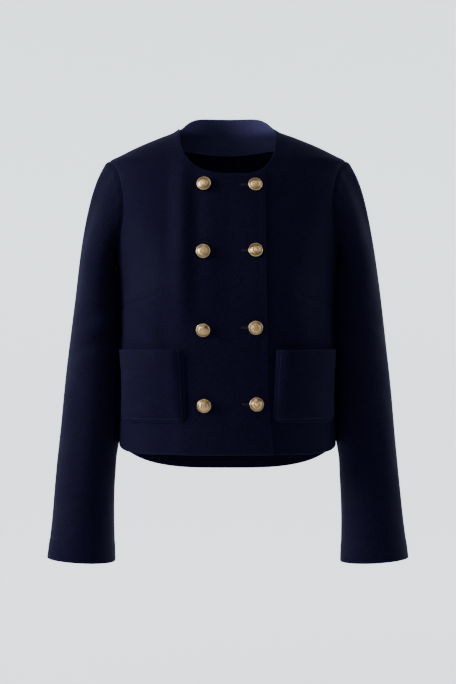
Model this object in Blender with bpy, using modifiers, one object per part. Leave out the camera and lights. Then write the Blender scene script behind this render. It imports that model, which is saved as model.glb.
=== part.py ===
"""A cropped, collarless, double-breasted jacket in stiff double knit, filled out as when it is worn.

Sizes are in millimetres and are turned to metres where a mesh is made. The origin lies midway between
the two shoulder-neck points. X runs to the wearer's left, -Y is the front of the jacket and +Z is up.
The wearer's right front laps over the left front and carries the buttonholes.
"""

import math

import bmesh
import bpy
import numpy as np
from mathutils import Matrix

MM = 0.001
QUARTER = math.pi / 2

# Cloth and seams
WALL = 2.0
SEAM_HALF_GAP = 0.15
SLEEVE_GAP = 0.32
LAP_GAP = 1.2
FACING_WALL = 1.2
FACING_GAP = 0.35
POCKET_GAP = 0.45

# The body form, one row for each level ring: a superellipse with its own depth in front and behind.
# Above the shoulder tips the rings narrow, so their side ends draw the shoulder line.
FORM_COLUMNS = ("height", "half_width", "front_depth", "back_depth", "squareness")
FORM_ROWS = (
    (30.0, 68.0, 30.0, 58.0, 2.0),
    (15.0, 70.5, 30.0, 61.0, 2.0),
    (0.0, 74.0, 34.0, 65.0, 2.0),
    (-14.0, 106.0, 46.0, 70.0, 2.0),
    (-27.0, 136.5, 56.0, 74.0, 2.0),
    (-40.0, 163.0, 65.0, 78.0, 2.0),
    (-54.0, 187.0, 73.0, 82.0, 2.0),
    (-80.0, 188.0, 86.0, 88.0, 2.1),
    (-135.0, 184.0, 104.0, 96.0, 2.2),
    (-180.0, 177.0, 117.0, 99.0, 2.35),
    (-215.0, 172.0, 124.0, 98.0, 2.45),
    (-250.0, 170.0, 126.0, 95.0, 2.5),
    (-310.0, 169.0, 122.0, 90.0, 2.5),
    (-400.0, 170.0, 117.0, 87.0, 2.5),
    (-460.0, 171.0, 115.0, 89.0, 2.5),
    (-545.0, 172.5, 113.0, 93.0, 2.5),
)
GIRTH_STEPS = 180

# Fullness over the bust, which the darts make
BUST_RISE = 6.0
BUST_ACROSS = 86.0
BUST_HEIGHT = -240.0
BUST_WIDTH = 44.0
BUST_LENGTH = 70.0

# Largest soft folds of the fronts where they lap: a ridge from the neck to the bust and two troughs
FOLD_COLUMNS = ("across", "middle_height", "half_width", "half_length", "rise")
FOLD_ROWS = (
    (-70.0, -180.0, 16.0, 120.0, 2.4),
    (-46.0, -170.0, 15.0, 110.0, -1.2),
    (4.0, -190.0, 24.0, 110.0, -1.2),
)

# Hem, neck and front edge
SIDE_HEM = -487.0
FRONT_HEM_DROP = 12.0
FRONT_HEM_POWER = 10.0
BACK_HEM_DROP = 44.0
BACK_HEM_POWER = 3.0
NECK_HALF_WIDTH = 74.0
NECK_DROP = 77.0
NECK_SIDE_PULL = 52.0
NECK_FLOOR_PULL = 50.0
BACK_NECK_RISE = 19.0
BACK_NECK_POWER = 8.0
LAP_COLUMNS = ("height", "reach")
LAP_ROWS = ((-60.0, 55.5), (-265.0, 58.0), (-400.0, 60.5), (-460.0, 64.0), (-505.0, 70.5))
LAP_RAMP = (-96.0, -62.0)
UNDERLAP_NECK_STEP = 1.5

# Armholes
SHOULDER_TIP = -54.0
UNDERARM = -215.0
FRONT_BITE = 58.0
BACK_BITE = 50.0

# Sleeve tube, one row for each level ring; the cap joins the armhole to the first of them
SLEEVE_COLUMNS = ("height", "outer", "inner", "front", "back")
SLEEVE_ROWS = (
    (-240.0, 233.5, 160.0, 62.0, 58.0),
    (-310.0, 243.0, 157.0, 53.0, 62.0),
    (-400.0, 253.5, 158.0, 46.0, 60.0),
    (-460.0, 258.8, 164.0, 46.0, 54.0),
    (-515.0, 263.6, 172.5, 49.0, 47.0),
    (-600.0, 270.5, 175.5, 55.0, 40.0),
    (-665.0, 278.5, 174.0, 58.0, 36.0),
)
SLEEVE_CLEAR = 0.6
POCKET_CLEAR = 4.0
CAP_START_PULL = 0.2
CAP_END_PULL = 0.36
CUFF_TILT = 3.0
CUFF_FRONT_DROP = 2.0

# Patch pockets
POCKET_TOP = -341.0
POCKET_BOTTOM = -451.0
POCKET_SIDE_SPACE = 44.0
POCKET_INNER_TOP = 66.5
POCKET_INNER_BOTTOM = 62.5
POCKET_CORNER = 13.0
POCKET_FULLNESS = 7.0
POCKET_MOUTH_FULLNESS = 3.5
POCKET_EDGE_ROLL = 20.0

# Buttons: a domed, rimmed head with a wire eye behind it
BUTTON_HEIGHTS = (-93.0, -194.5, -310.0, -424.0)
PLAIN_COLUMN = -36.5
FASTENING_COLUMN = 41.5
BUTTON_PROFILE = (
    (0.0, 5.2), (3.6, 4.9), (6.6, 4.0), (8.6, 2.9), (9.2, 3.2), (10.3, 3.0),
    (11.0, 2.2), (11.0, 1.1), (10.0, 0.3), (0.0, 0.0),
)
BUTTON_SIDES = 16
EYE_RADIUS = 2.6
EYE_WIRE = 0.8
EYE_SIDES = 12
EYE_WIRE_SIDES = 6
BUTTON_SEAT = 0.3
BUTTONHOLE_REACH = 20.5
BUTTONHOLE_CLEAR = 0.5

# Mesh steps
SIDE_STEPS = 14
ARMHOLE_STEPS = 12
LAP_STEPS = 16
FRONT_COLUMNS = 15
SHOULDER_COLUMNS = 4
NECK_COLUMNS = 12
FACING_ROWS = 3
SHOULDER_FACING_COLUMNS = 2
CAP_STEPS = 7
TUBE_STEPS = 12
POCKET_COLUMNS = 9

NAVY = (0.0075, 0.0085, 0.0265, 1.0)
GOLD = (0.70, 0.47, 0.21, 1.0)


def smooth_curve(at, knots, values):
    """A monotone cubic through the table's values, so a column never swings past its own numbers."""
    order = np.argsort(knots)
    x = np.asarray(knots, float)[order]
    y = np.asarray(values, float)[order]
    step = np.diff(x)
    slope = np.diff(y) / step
    bend = np.zeros(len(x))
    same_way = slope[:-1] * slope[1:] > 0
    weight_a = 2 * step[1:] + step[:-1]
    weight_b = step[1:] + 2 * step[:-1]
    safe = np.where(same_way, slope[:-1] * slope[1:], 1.0)
    mean = (weight_a + weight_b) * safe / (weight_a * slope[1:] + weight_b * slope[:-1] + (~same_way))
    bend[1:-1] = np.where(same_way, mean, 0.0)
    bend[0] = slope[0]
    bend[-1] = slope[-1]
    at = np.clip(np.asarray(at, float), x[0], x[-1])
    k = np.clip(np.searchsorted(x, at) - 1, 0, len(step) - 1)
    t = (at - x[k]) / step[k]
    return (
        y[k] * (1 + 2 * t) * (1 - t) ** 2
        + bend[k] * step[k] * t * (1 - t) ** 2
        + y[k + 1] * t**2 * (3 - 2 * t)
        + bend[k + 1] * step[k] * t**2 * (t - 1)
    )


def column(rows, names, name):
    """One named column of a table."""
    return [row[names.index(name)] for row in rows]


def form_size(name, height):
    """A size of the body form at a height."""
    heights = column(FORM_ROWS, FORM_COLUMNS, "height")
    return smooth_curve(height, heights, column(FORM_ROWS, FORM_COLUMNS, name))


def ease(value, start, end):
    """0 before start, 1 after end, and a smooth rise between them."""
    t = np.clip((np.asarray(value, float) - start) / (end - start), 0, 1)
    return t * t * (3 - 2 * t)


def form_point(angle, height):
    """The body form at an angle round it: 0 is centre front, a quarter turn is a side, a half is the back.

    Positive angles go to the wearer's left.
    """
    angle, height = np.broadcast_arrays(np.asarray(angle, float), np.asarray(height, float))
    power = form_size("squareness", height)
    sine = np.sin(angle)
    cosine = np.cos(angle)
    reach = (np.abs(sine) ** power + np.abs(cosine) ** power) ** (-1 / power)
    x = form_size("half_width", height) * sine * reach
    depth = np.where(cosine > 0, form_size("front_depth", height), form_size("back_depth", height))
    across = (np.abs(x) - BUST_ACROSS) / BUST_WIDTH
    down = (height - BUST_HEIGHT) / BUST_LENGTH
    bust = BUST_RISE * np.exp(-(across**2) - down**2) * np.clip(cosine, 0, 1)
    y = -depth * cosine * reach - bust
    return np.stack([x, y, height], axis=-1)


def form_normal(angle, height):
    """The outward normal of the body form."""
    small = 1e-3
    along = form_point(np.asarray(angle) + small, height) - form_point(np.asarray(angle) - small, height)
    up = form_point(angle, np.asarray(height) + 0.5) - form_point(angle, np.asarray(height) - 0.5)
    normal = np.cross(along, up)
    return normal / np.linalg.norm(normal, axis=-1, keepdims=True)


def girth_table(height):
    """Angles round half a ring and the girth from centre front to each of them, for each height."""
    height = np.asarray(height, float)
    angles = np.linspace(0, math.pi, GIRTH_STEPS + 1)
    points = form_point(angles, height[..., None])
    lengths = np.linalg.norm(np.diff(points, axis=-2), axis=-1)
    girth = np.concatenate([np.zeros(height.shape + (1,)), np.cumsum(lengths, axis=-1)], axis=-1)
    return angles, girth


def girth_at(angle, height):
    """The distance round the form from centre front to an angle, at one height or many."""
    angle, height = np.broadcast_arrays(np.asarray(angle, float), np.asarray(height, float))
    angles, girth = girth_table(height)
    place = angle / math.pi * GIRTH_STEPS
    low = np.clip(np.floor(place).astype(int), 0, GIRTH_STEPS - 1)[..., None]
    start = np.take_along_axis(girth, low, -1)[..., 0]
    end = np.take_along_axis(girth, low + 1, -1)[..., 0]
    return start + (end - start) * (place - low[..., 0])


def angle_at(girth_from_front, height):
    """The angle at a signed girth from centre front."""
    distance, height = np.broadcast_arrays(np.asarray(girth_from_front, float), np.asarray(height, float))
    angles, girth = girth_table(height)
    size = np.abs(distance)
    low = np.clip((girth <= size[..., None]).sum(axis=-1) - 1, 0, GIRTH_STEPS - 1)[..., None]
    start = np.take_along_axis(girth, low, -1)[..., 0]
    end = np.take_along_axis(girth, low + 1, -1)[..., 0]
    share = (size - start) / (end - start)
    return np.sign(distance) * (low[..., 0] + share) / GIRTH_STEPS * math.pi


def angle_of_width(x, height):
    """The angle, on the front half, at which the form is x wide."""
    power = form_size("squareness", height)
    across = np.clip(np.abs(x) / form_size("half_width", height), 0, 1)
    forward = (1 - across**power) ** (1 / power)
    return np.sign(x) * np.arctan2(across, forward)


def bezier(share, corners):
    """A cubic Bezier curve through its four corners, at shares of its length parameter."""
    t = np.asarray(share, float)[..., None]
    a, b, c, d = (np.asarray(p, float) for p in corners)
    return a * (1 - t) ** 3 + 3 * b * t * (1 - t) ** 2 + 3 * c * t**2 * (1 - t) + d * t**3


def hem_height(angle):
    """The hem: level in front, a little raised at the side seams and lower behind."""
    sine = np.abs(np.sin(angle))
    front = SIDE_HEM - FRONT_HEM_DROP * (1 - sine**FRONT_HEM_POWER)
    back = SIDE_HEM - BACK_HEM_DROP * (1 - sine**BACK_HEM_POWER)
    return np.where(np.cos(angle) > 0, front, back)


def armhole(turn, bite):
    """Girth from centre front and height of the armhole. Turn 0 is the shoulder tip, pi the underarm."""
    middle = (SHOULDER_TIP + UNDERARM) / 2
    half = (SHOULDER_TIP - UNDERARM) / 2
    height = middle + half * np.cos(turn)
    side = girth_at(QUARTER, height)
    return np.stack([side + bite * np.sin(turn), height], axis=-1)


def armhole_turns(steps=ARMHOLE_STEPS):
    """Turns from the underarm up to the shoulder tip."""
    return np.linspace(math.pi, 0, steps + 1)


def neckline(share):
    """Width and height of the front neckline, from its middle (0) to the shoulder-neck point (1)."""
    corners = (
        (0, -NECK_DROP),
        (NECK_FLOOR_PULL, -NECK_DROP),
        (NECK_HALF_WIDTH, -NECK_SIDE_PULL),
        (NECK_HALF_WIDTH, 0),
    )
    return bezier(share, corners)


def lap_reach(height):
    """How far a front reaches past the centre line."""
    heights = column(LAP_ROWS, LAP_COLUMNS, "height")
    return smooth_curve(height, heights, column(LAP_ROWS, LAP_COLUMNS, "reach"))


def even_steps(points, steps):
    """Points at even distances along a finely drawn line."""
    run = np.concatenate([[0], np.cumsum(np.linalg.norm(np.diff(points, axis=0), axis=1))])
    wanted = np.linspace(0, run[-1], steps + 1)
    return np.stack([np.interp(wanted, run, points[:, k]) for k in range(points.shape[1])], axis=1)


def coons(bottom, top, left, right):
    """A patch between four edges. Bottom and top run left to right, left and right run upwards."""
    u = np.linspace(0, 1, len(bottom))[None, :, None]
    v = np.linspace(0, 1, len(left))[:, None, None]
    across = (1 - u) * left[:, None] + u * right[:, None]
    upright = (1 - v) * bottom[None] + v * top[None]
    corners = (
        (1 - u) * (1 - v) * bottom[0] + u * (1 - v) * bottom[-1]
        + (1 - u) * v * top[0] + u * v * top[-1]
    )
    return across + upright - corners


def front_patch(neck_step):
    """Girth from centre front and height over one front, as a grid from its side seam to its lap edge.

    The girth is counted towards the wearer's own side, so the lap is negative.
    """
    hem_side = float(hem_height(QUARTER))
    seam_heights = np.linspace(hem_side, UNDERARM, SIDE_STEPS + 1)
    seam = np.stack([girth_at(QUARTER, seam_heights) - SEAM_HALF_GAP, seam_heights], axis=-1)
    hole = armhole(armhole_turns(), -FRONT_BITE)
    hole[0, 0] -= SEAM_HALF_GAP
    hole[-1, 0] -= SEAM_HALF_GAP
    side_edge = np.concatenate([seam[:-1], hole])

    neck_fine = neckline(np.linspace(1, 0, 200))
    far_half = neckline(np.linspace(0, 1, 200))[1:]
    far_half[:, 0] *= -1
    neck_fine = np.concatenate([neck_fine, far_half])
    neck_fine = neck_fine[neck_fine[:, 0] > -lap_reach(-NECK_DROP)]
    neck_fine[:, 1] -= neck_step * ease(-neck_fine[:, 1], 0, NECK_DROP / 2)
    neck = even_steps(neck_fine, SIDE_STEPS + ARMHOLE_STEPS - LAP_STEPS)[::-1]

    lap_top = neck[0, 1]
    lap_heights = np.linspace(float(hem_height(0.4)), lap_top, LAP_STEPS + 1)
    lap = np.stack([-lap_reach(lap_heights), lap_heights], axis=-1)
    lap[-1] = neck[0]
    front_edge = np.concatenate([lap[:-1], neck])
    angles = angle_of_width(front_edge[:, 0], front_edge[:, 1])
    girths = np.sign(angles) * girth_at(np.abs(angles), front_edge[:, 1])
    front_edge = np.stack([girths, front_edge[:, 1]], axis=-1)
    front_edge[-1] = (girth_at(QUARTER, 0.0) - SEAM_HALF_GAP, 0.0)

    shoulder_heights = np.linspace(SHOULDER_TIP, 0, FRONT_COLUMNS + 1)
    shoulder = np.stack([girth_at(QUARTER, shoulder_heights) - SEAM_HALF_GAP, shoulder_heights], axis=-1)
    hem_girths = np.linspace(side_edge[0, 0], front_edge[0, 0], FRONT_COLUMNS + 1)
    hem_angles = angle_at(hem_girths, SIDE_HEM)
    hem = np.stack([hem_girths, hem_height(hem_angles)], axis=-1)
    front_edge[0] = hem[-1]
    side_edge[0] = hem[0]
    return coons(hem, shoulder, side_edge, front_edge)


def back_patch():
    """Girth from centre back and height over the back, from the right side seam to the left."""
    seam_heights = np.linspace(float(hem_height(QUARTER)), UNDERARM, SIDE_STEPS + 1)
    hole = armhole(armhole_turns(), BACK_BITE)
    edge = np.concatenate(
        [np.stack([girth_at(QUARTER, seam_heights), seam_heights], axis=-1)[:-1], hole]
    )
    half = girth_at(math.pi, edge[:, 1])
    left_edge = np.stack([half - edge[:, 0], edge[:, 1]], axis=-1)
    left_edge[: SIDE_STEPS + 1, 0] -= SEAM_HALF_GAP
    left_edge[-1, 0] -= SEAM_HALF_GAP

    shoulder_heights = np.linspace(SHOULDER_TIP, 0, SHOULDER_COLUMNS + 1)
    shoulder_girth = girth_at(math.pi, shoulder_heights) - girth_at(QUARTER, shoulder_heights)
    shoulder = np.stack([shoulder_girth - SEAM_HALF_GAP, shoulder_heights], axis=-1)
    turns = np.linspace(QUARTER, math.pi, NECK_COLUMNS // 2 + 1)
    neck_heights = BACK_NECK_RISE * (1 - np.sin(turns) ** BACK_NECK_POWER)
    neck_girth = girth_at(math.pi, neck_heights) - girth_at(turns, neck_heights)
    neck = np.stack([neck_girth, neck_heights], axis=-1)
    neck[0] = shoulder[-1]
    half_top = np.concatenate([shoulder[:-1], neck])

    side_girth = left_edge[0, 0]
    neck_share = 0.42
    hem_girths = np.concatenate(
        [
            np.linspace(side_girth, side_girth * neck_share, SHOULDER_COLUMNS + 1)[:-1],
            np.linspace(side_girth * neck_share, 0, NECK_COLUMNS // 2 + 1),
        ]
    )
    hem_angles = angle_at(girth_at(math.pi, SIDE_HEM) - hem_girths, SIDE_HEM)
    half_hem = np.stack([hem_girths, hem_height(hem_angles)], axis=-1)
    half_hem[0] = left_edge[0]

    mirror = np.array([-1.0, 1.0])
    top = np.concatenate([half_top * mirror, half_top[-2::-1]])
    bottom = np.concatenate([half_hem * mirror, half_hem[-2::-1]])
    return coons(bottom, top, left_edge * mirror, left_edge)


def fold_rise(points):
    """How far the soft folds stand out of the form. Both layers of the lap share them."""
    rise = np.zeros(points.shape[:-1])
    for across, middle, half_width, half_length, height in FOLD_ROWS:
        wide = (points[..., 0] - across) / half_width
        long = (points[..., 2] - middle) / half_length
        rise += height * np.exp(-(wide**2) - long**4)
    return rise


def left_front_lift(angles, heights):
    """The left front lies on the form, but for the folds of the lap."""
    return fold_rise(form_point(angles, heights))


def right_front_lift(angles, heights):
    """The right front lies on the form at the side and over the left front at the lap."""
    points = form_point(angles, heights)
    lap = (WALL + LAP_GAP) * ease(points[..., 0], *LAP_RAMP)
    return lap + fold_rise(points)


def raised(angles, heights, lift):
    """Points of the form moved out along its normals."""
    lift = np.broadcast_to(np.asarray(lift, float), np.shape(angles))
    return form_point(angles, heights) + form_normal(angles, heights) * lift[..., None]


def add_object(name, mesh, material):
    """Links a mesh as an object of the jacket."""
    made = bpy.data.objects.new(name, mesh)
    JACKET.objects.link(made)
    if material:
        mesh.materials.append(material)
    return made


def wall(name, outer, inner, material, tube=False):
    """A closed cloth wall between an outer and an inner grid of points. A tube joins its last column
    to its first."""
    rows, columns = outer.shape[:2]
    shell = bmesh.new()
    faces = [[[shell.verts.new(p * MM) for p in row] for row in grid] for grid in (outer, inner)]
    spans = columns if tube else columns - 1
    for grid in faces:
        for r in range(rows - 1):
            for c in range(spans):
                d = (c + 1) % columns
                shell.faces.new((grid[r][c], grid[r][d], grid[r + 1][d], grid[r + 1][c]))
    front, back = faces
    for r in (0, rows - 1):
        for c in range(spans):
            d = (c + 1) % columns
            shell.faces.new((front[r][c], front[r][d], back[r][d], back[r][c]))
    if not tube:
        for c in (0, columns - 1):
            for r in range(rows - 1):
                shell.faces.new((front[r][c], front[r + 1][c], back[r + 1][c], back[r][c]))
    bmesh.ops.recalc_face_normals(shell, faces=shell.faces)
    mesh = bpy.data.meshes.new(name)
    shell.to_mesh(mesh)
    shell.free()
    mesh.shade_smooth()
    mesh.set_sharp_from_angle(angle=math.radians(50))
    return add_object(name, mesh, material)


def front_grid(side, neck_step):
    """Angles and heights of one front. Side is -1 for the wearer's right, 1 for the left."""
    patch = front_patch(neck_step)
    angles = side * angle_at(patch[..., 0], patch[..., 1])
    return angles, patch[..., 1]


def make_right_front(material):
    """The front that laps over, with its four buttonholes cut through."""
    angles, heights = front_grid(-1, 0.0)
    lift = right_front_lift(angles, heights)
    lift[:, 0] = 0
    lift[-1, :] = 0
    outer = raised(angles, heights, lift)
    inner = raised(angles, heights, lift - WALL)
    made = wall("front_right", outer, inner, material)
    for number, height in enumerate(BUTTON_HEIGHTS, 1):
        cutter = buttonhole_cutter(number, height)
        cut = made.modifiers.new(f"buttonhole_{number}", "BOOLEAN")
        cut.operation = "DIFFERENCE"
        cut.solver = "EXACT"
        cut.object = cutter
    return made


def make_left_front(material):
    """The front that lies beneath."""
    angles, heights = front_grid(1, UNDERLAP_NECK_STEP)
    lift = left_front_lift(angles, heights)
    return wall("front_left", raised(angles, heights, lift), raised(angles, heights, lift - WALL), material)


def back_grid():
    """Angles and heights of the back."""
    patch = back_patch()
    half = girth_at(math.pi, patch[..., 1])
    angles = angle_at(half - np.abs(patch[..., 0]), patch[..., 1])
    side = np.where(patch[..., 0] < 0, -1.0, 1.0)
    return angles * side, patch[..., 1]


def make_back(material):
    """The back, in one piece from side seam to side seam."""
    angles, heights = back_grid()
    return wall("back", raised(angles, heights, 0.0), raised(angles, heights, -WALL), material)


def make_neck_facing(material):
    """The facing inside the back neck, on the back's own columns so that the two lie face to face."""
    angles, heights = back_grid()
    first = SHOULDER_COLUMNS - SHOULDER_FACING_COLUMNS
    last = angles.shape[1] - first
    angles = angles[-FACING_ROWS - 1 :, first:last]
    heights = heights[-FACING_ROWS - 1 :, first:last]
    outer = raised(angles, heights, -WALL - FACING_GAP)
    inner = raised(angles, heights, -WALL - FACING_GAP - FACING_WALL)
    return wall("back_neck_facing", outer, inner, material)


def armhole_loop(side):
    """Points, body normals and away-from-panel directions round an armhole, from the shoulder tip down
    the front to the underarm and up the back."""
    turns = armhole_turns()[::-1]
    front = armhole(turns, -FRONT_BITE)
    back = armhole(turns, BACK_BITE)[-2:0:-1]
    loop = np.concatenate([front, back])
    angles = side * angle_at(loop[:, 0], loop[:, 1])
    points = form_point(angles, loop[:, 1])
    normals = form_normal(angles, loop[:, 1])
    along = np.roll(points, -1, axis=0) - np.roll(points, 1, axis=0)
    away = side * np.cross(normals, along)
    away /= np.linalg.norm(away, axis=1, keepdims=True)
    return points, normals, away


def sleeve_size(name, height):
    """A size of the sleeve tube at a height."""
    heights = column(SLEEVE_ROWS, SLEEVE_COLUMNS, "height")
    return smooth_curve(height, heights, column(SLEEVE_ROWS, SLEEVE_COLUMNS, name))


def body_side(depth, height):
    """How far out a sleeve has to stay to hang against the body and the pocket without touching."""
    power = form_size("squareness", height)
    room = np.where(depth < 0, form_size("front_depth", height), form_size("back_depth", height))
    width = form_size("half_width", height) * (1 - np.clip(np.abs(depth) / room, 0, 1) ** power) ** (1 / power)
    pocket = ease(-depth, 26, 40) * ease(height, POCKET_BOTTOM - 25, POCKET_BOTTOM)
    pocket = pocket * (1 - ease(height, POCKET_TOP, POCKET_TOP + 25))
    return np.where(height > SIDE_HEM - 12, width + SLEEVE_CLEAR + POCKET_CLEAR * pocket, 0.0)


def tube_point(side, turn, height):
    """The sleeve tube. Turn 0 is its outer side, a quarter its front, a half the side by the body."""
    outer = sleeve_size("outer", height)
    inner = sleeve_size("inner", height)
    front = sleeve_size("front", height)
    back = sleeve_size("back", height)
    x = (outer + inner) / 2 + (outer - inner) / 2 * np.cos(turn)
    y = (back - front) / 2 - (front + back) / 2 * np.sin(turn)
    return np.stack(np.broadcast_arrays(side * np.maximum(x, body_side(y, height)), y, height), axis=-1)


def sleeve_surface(side):
    """Grid of points over a sleeve from its armhole seam to its cuff, one column for each turn."""
    points, normals, away = armhole_loop(side)
    turns = np.linspace(0, 2 * math.pi, len(points), endpoint=False)
    down = np.array([0.0, 0.0, -1.0])
    start = points + SLEEVE_GAP * (normals + away)
    top_share = ((1 + np.cos(turns)) / 2)[:, None]
    leave = top_share * away + (1 - top_share) * (normals + 0.6 * down)
    leave /= np.linalg.norm(leave, axis=1, keepdims=True)
    first = SLEEVE_ROWS[0][0]
    end = tube_point(side, turns, first)
    arrive = tube_point(side, turns, first - 20) - end
    arrive /= np.linalg.norm(arrive, axis=1, keepdims=True)
    length = np.linalg.norm(end - start, axis=1, keepdims=True)
    corners = (start, start + leave * length * CAP_START_PULL, end - arrive * length * CAP_END_PULL, end)
    rows = [bezier(np.full(len(turns), t), corners) for t in np.linspace(0, 1, CAP_STEPS + 1)]
    cuff = SLEEVE_ROWS[-1][0]
    for share in np.linspace(0, 1, TUBE_STEPS + 1)[1:]:
        height = first + (cuff - first) * share
        tilt = share**4 * (CUFF_TILT * np.cos(turns) - CUFF_FRONT_DROP * np.sin(turns))
        rows.append(tube_point(side, turns, height) + tilt[:, None] * [0.0, 0.0, 1.0])
    return np.array(rows)


def surface_normals(grid, side):
    """Outward normals of a tube grid whose columns close round."""
    along = np.roll(grid, -1, axis=1) - np.roll(grid, 1, axis=1)
    down = np.gradient(grid, axis=0)
    normal = side * np.cross(along, down)
    return normal / np.linalg.norm(normal, axis=2, keepdims=True)


def make_sleeve(name, side, material):
    """A sleeve: a shaped cap from the armhole, then a tube that widens to the cuff."""
    outer = sleeve_surface(side)
    inner = outer - WALL * surface_normals(outer, side)
    return wall(name, outer, inner, material, tube=True)


def pocket_grid():
    """Girth from centre front and height over a patch pocket, and the distance of each point from its
    sewn edges. The lower corners are rounded."""
    size = POCKET_TOP - POCKET_BOTTOM
    lows = np.array([0.0, 0.1, 0.35, 0.7, 1.0]) * POCKET_CORNER
    rises = np.concatenate([lows, np.linspace(POCKET_CORNER, size, 7)[1:]])
    shares = np.linspace(0, 1, POCKET_COLUMNS + 1)
    shares = shares - 0.45 * np.sin(2 * math.pi * shares) / (2 * math.pi)
    short = np.clip(POCKET_CORNER - rises, 0, None)
    inset = POCKET_CORNER - np.sqrt(POCKET_CORNER**2 - short**2)
    heights = POCKET_BOTTOM + rises
    inner_width = POCKET_INNER_BOTTOM + (POCKET_INNER_TOP - POCKET_INNER_BOTTOM) * rises / size
    inner_girth = girth_at(angle_of_width(inner_width, heights), heights)
    outer_girth = girth_at(QUARTER, heights) - POCKET_SIDE_SPACE
    start = inner_girth + inset
    width = outer_girth - inset - start
    girths = start[:, None] + width[:, None] * shares[None, :]
    side_distance = np.minimum(shares, 1 - shares)[None, :] * width[:, None]
    distance = np.minimum(side_distance, rises[:, None])
    grid_heights = np.broadcast_to(heights[:, None], girths.shape)
    return girths, grid_heights, distance, rises[:, None] / size


def make_pocket(name, side, lift_of, material):
    """A patch pocket that lies on its front at three edges and stands open at the top."""
    girths, heights, distance, rise = pocket_grid()
    angles = side * angle_at(girths, heights)
    fullness = POCKET_FULLNESS + POCKET_MOUTH_FULLNESS * rise**2
    roll = 1 - (1 - np.clip(distance / POCKET_EDGE_ROLL, 0, 1)) ** 2
    under = lift_of(angles, heights) + POCKET_GAP + fullness * roll
    outer = raised(angles, heights, under + WALL)
    inner = raised(angles, heights, under)
    return wall(name, outer, inner, material)


def seat_frame(across, height, lift):
    """A place on the right front: X level along the cloth, Z straight out of it."""
    angle = angle_of_width(np.array(float(across)), np.array(float(height)))
    normal = form_normal(angle, height)
    level = np.cross([0.0, 0.0, 1.0], normal)
    level /= np.linalg.norm(level)
    upright = np.cross(normal, level)
    point = form_point(angle, height) + normal * lift
    frame = Matrix.Identity(4)
    for axis, direction in enumerate((level, upright, normal)):
        for k in range(3):
            frame[k][axis] = direction[k]
    for k in range(3):
        frame[k][3] = point[k] * MM
    return frame


def cloth_lift(across, height):
    """How far the right front's outer face stands off the form at a place."""
    angle = angle_of_width(np.array(float(across)), np.array(float(height)))
    return float(right_front_lift(angle, np.array(float(height))))


def buttonhole_cutter(number, height):
    """A flat bar through the right front where a buttonhole is slit, away from the front edge."""
    right = EYE_RADIUS + EYE_WIRE + BUTTONHOLE_CLEAR
    length = BUTTONHOLE_REACH + right
    bar = bmesh.new()
    bmesh.ops.create_cube(bar, size=1.0)
    bmesh.ops.scale(bar, vec=(length * MM, 2 * (EYE_WIRE + BUTTONHOLE_CLEAR) * MM, 14 * MM), verts=bar.verts)
    bmesh.ops.translate(bar, vec=((right - length / 2) * MM, 0, 0), verts=bar.verts)
    mesh = bpy.data.meshes.new(f"buttonhole_cutter_{number}")
    bar.to_mesh(mesh)
    bar.free()
    cutter = bpy.data.objects.new(f"buttonhole_cutter_{number}", mesh)
    CUTTERS.objects.link(cutter)
    cutter.matrix_world = seat_frame(FASTENING_COLUMN, height, cloth_lift(FASTENING_COLUMN, height))
    cutter.hide_render = True
    cutter.display_type = "WIRE"
    return cutter


def button_mesh(material):
    """The button's head, turned, with its wire eye joined on. Its underside lies at height 0."""
    head = bpy.data.meshes.new("button_profile")
    head.from_pydata(
        [(r * MM, 0, z * MM) for r, z in BUTTON_PROFILE],
        [(k, k + 1) for k in range(len(BUTTON_PROFILE) - 1)],
        [],
    )
    turned = bpy.data.objects.new("button_head_guide", head)
    CUTTERS.objects.link(turned)
    screw = turned.modifiers.new("turn", "SCREW")
    screw.steps = BUTTON_SIDES
    screw.render_steps = BUTTON_SIDES
    screw.use_merge_vertices = True
    screw.merge_threshold = 0.00002
    bpy.ops.mesh.primitive_torus_add(
        major_radius=EYE_RADIUS * MM,
        minor_radius=EYE_WIRE * MM,
        major_segments=EYE_SIDES,
        minor_segments=EYE_WIRE_SIDES,
        rotation=(math.radians(90), 0, 0),
    )
    eye = bpy.context.active_object
    eye.name = "button_eye_guide"
    for holder in list(eye.users_collection):
        holder.objects.unlink(eye)
    CUTTERS.objects.link(eye)
    join = turned.modifiers.new("join_eye", "BOOLEAN")
    join.operation = "UNION"
    join.solver = "EXACT"
    join.object = eye
    bpy.context.view_layer.update()
    finished = bpy.data.meshes.new_from_object(turned.evaluated_get(bpy.context.evaluated_depsgraph_get()))
    finished.name = "button"
    finished.materials.clear()
    finished.materials.append(material)
    finished.shade_smooth()
    finished.set_sharp_from_angle(angle=math.radians(40))
    bpy.data.objects.remove(turned)
    bpy.data.objects.remove(eye)
    return finished


def make_buttons(material):
    """Eight buttons: one column sewn on the right front, the other sewn on the left front and passed
    through the buttonholes."""
    mesh = button_mesh(material)
    eye_depth = EYE_RADIUS + EYE_WIRE
    for number, height in enumerate(BUTTON_HEIGHTS, 1):
        plain = add_object(f"button_plain_{number}", mesh, None)
        seat = cloth_lift(PLAIN_COLUMN, height) + BUTTON_SEAT + eye_depth
        plain.matrix_world = seat_frame(PLAIN_COLUMN, height, seat)
        fastened = add_object(f"button_fastened_{number}", mesh, None)
        seat = cloth_lift(FASTENING_COLUMN, height) - WALL - LAP_GAP + BUTTON_SEAT + eye_depth
        fastened.matrix_world = seat_frame(FASTENING_COLUMN, height, seat)


def make_material(name, colour, roughness, metallic):
    """A Principled material."""
    made = bpy.data.materials.new(name)
    made.use_nodes = True
    shader = made.node_tree.nodes["Principled BSDF"]
    shader.inputs["Base Color"].default_value = colour
    shader.inputs["Roughness"].default_value = roughness
    shader.inputs["Metallic"].default_value = metallic
    made.diffuse_color = colour
    return made


def make_collection(name):
    """A collection in the scene."""
    made = bpy.data.collections.new(name)
    bpy.context.scene.collection.children.link(made)
    return made


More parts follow.
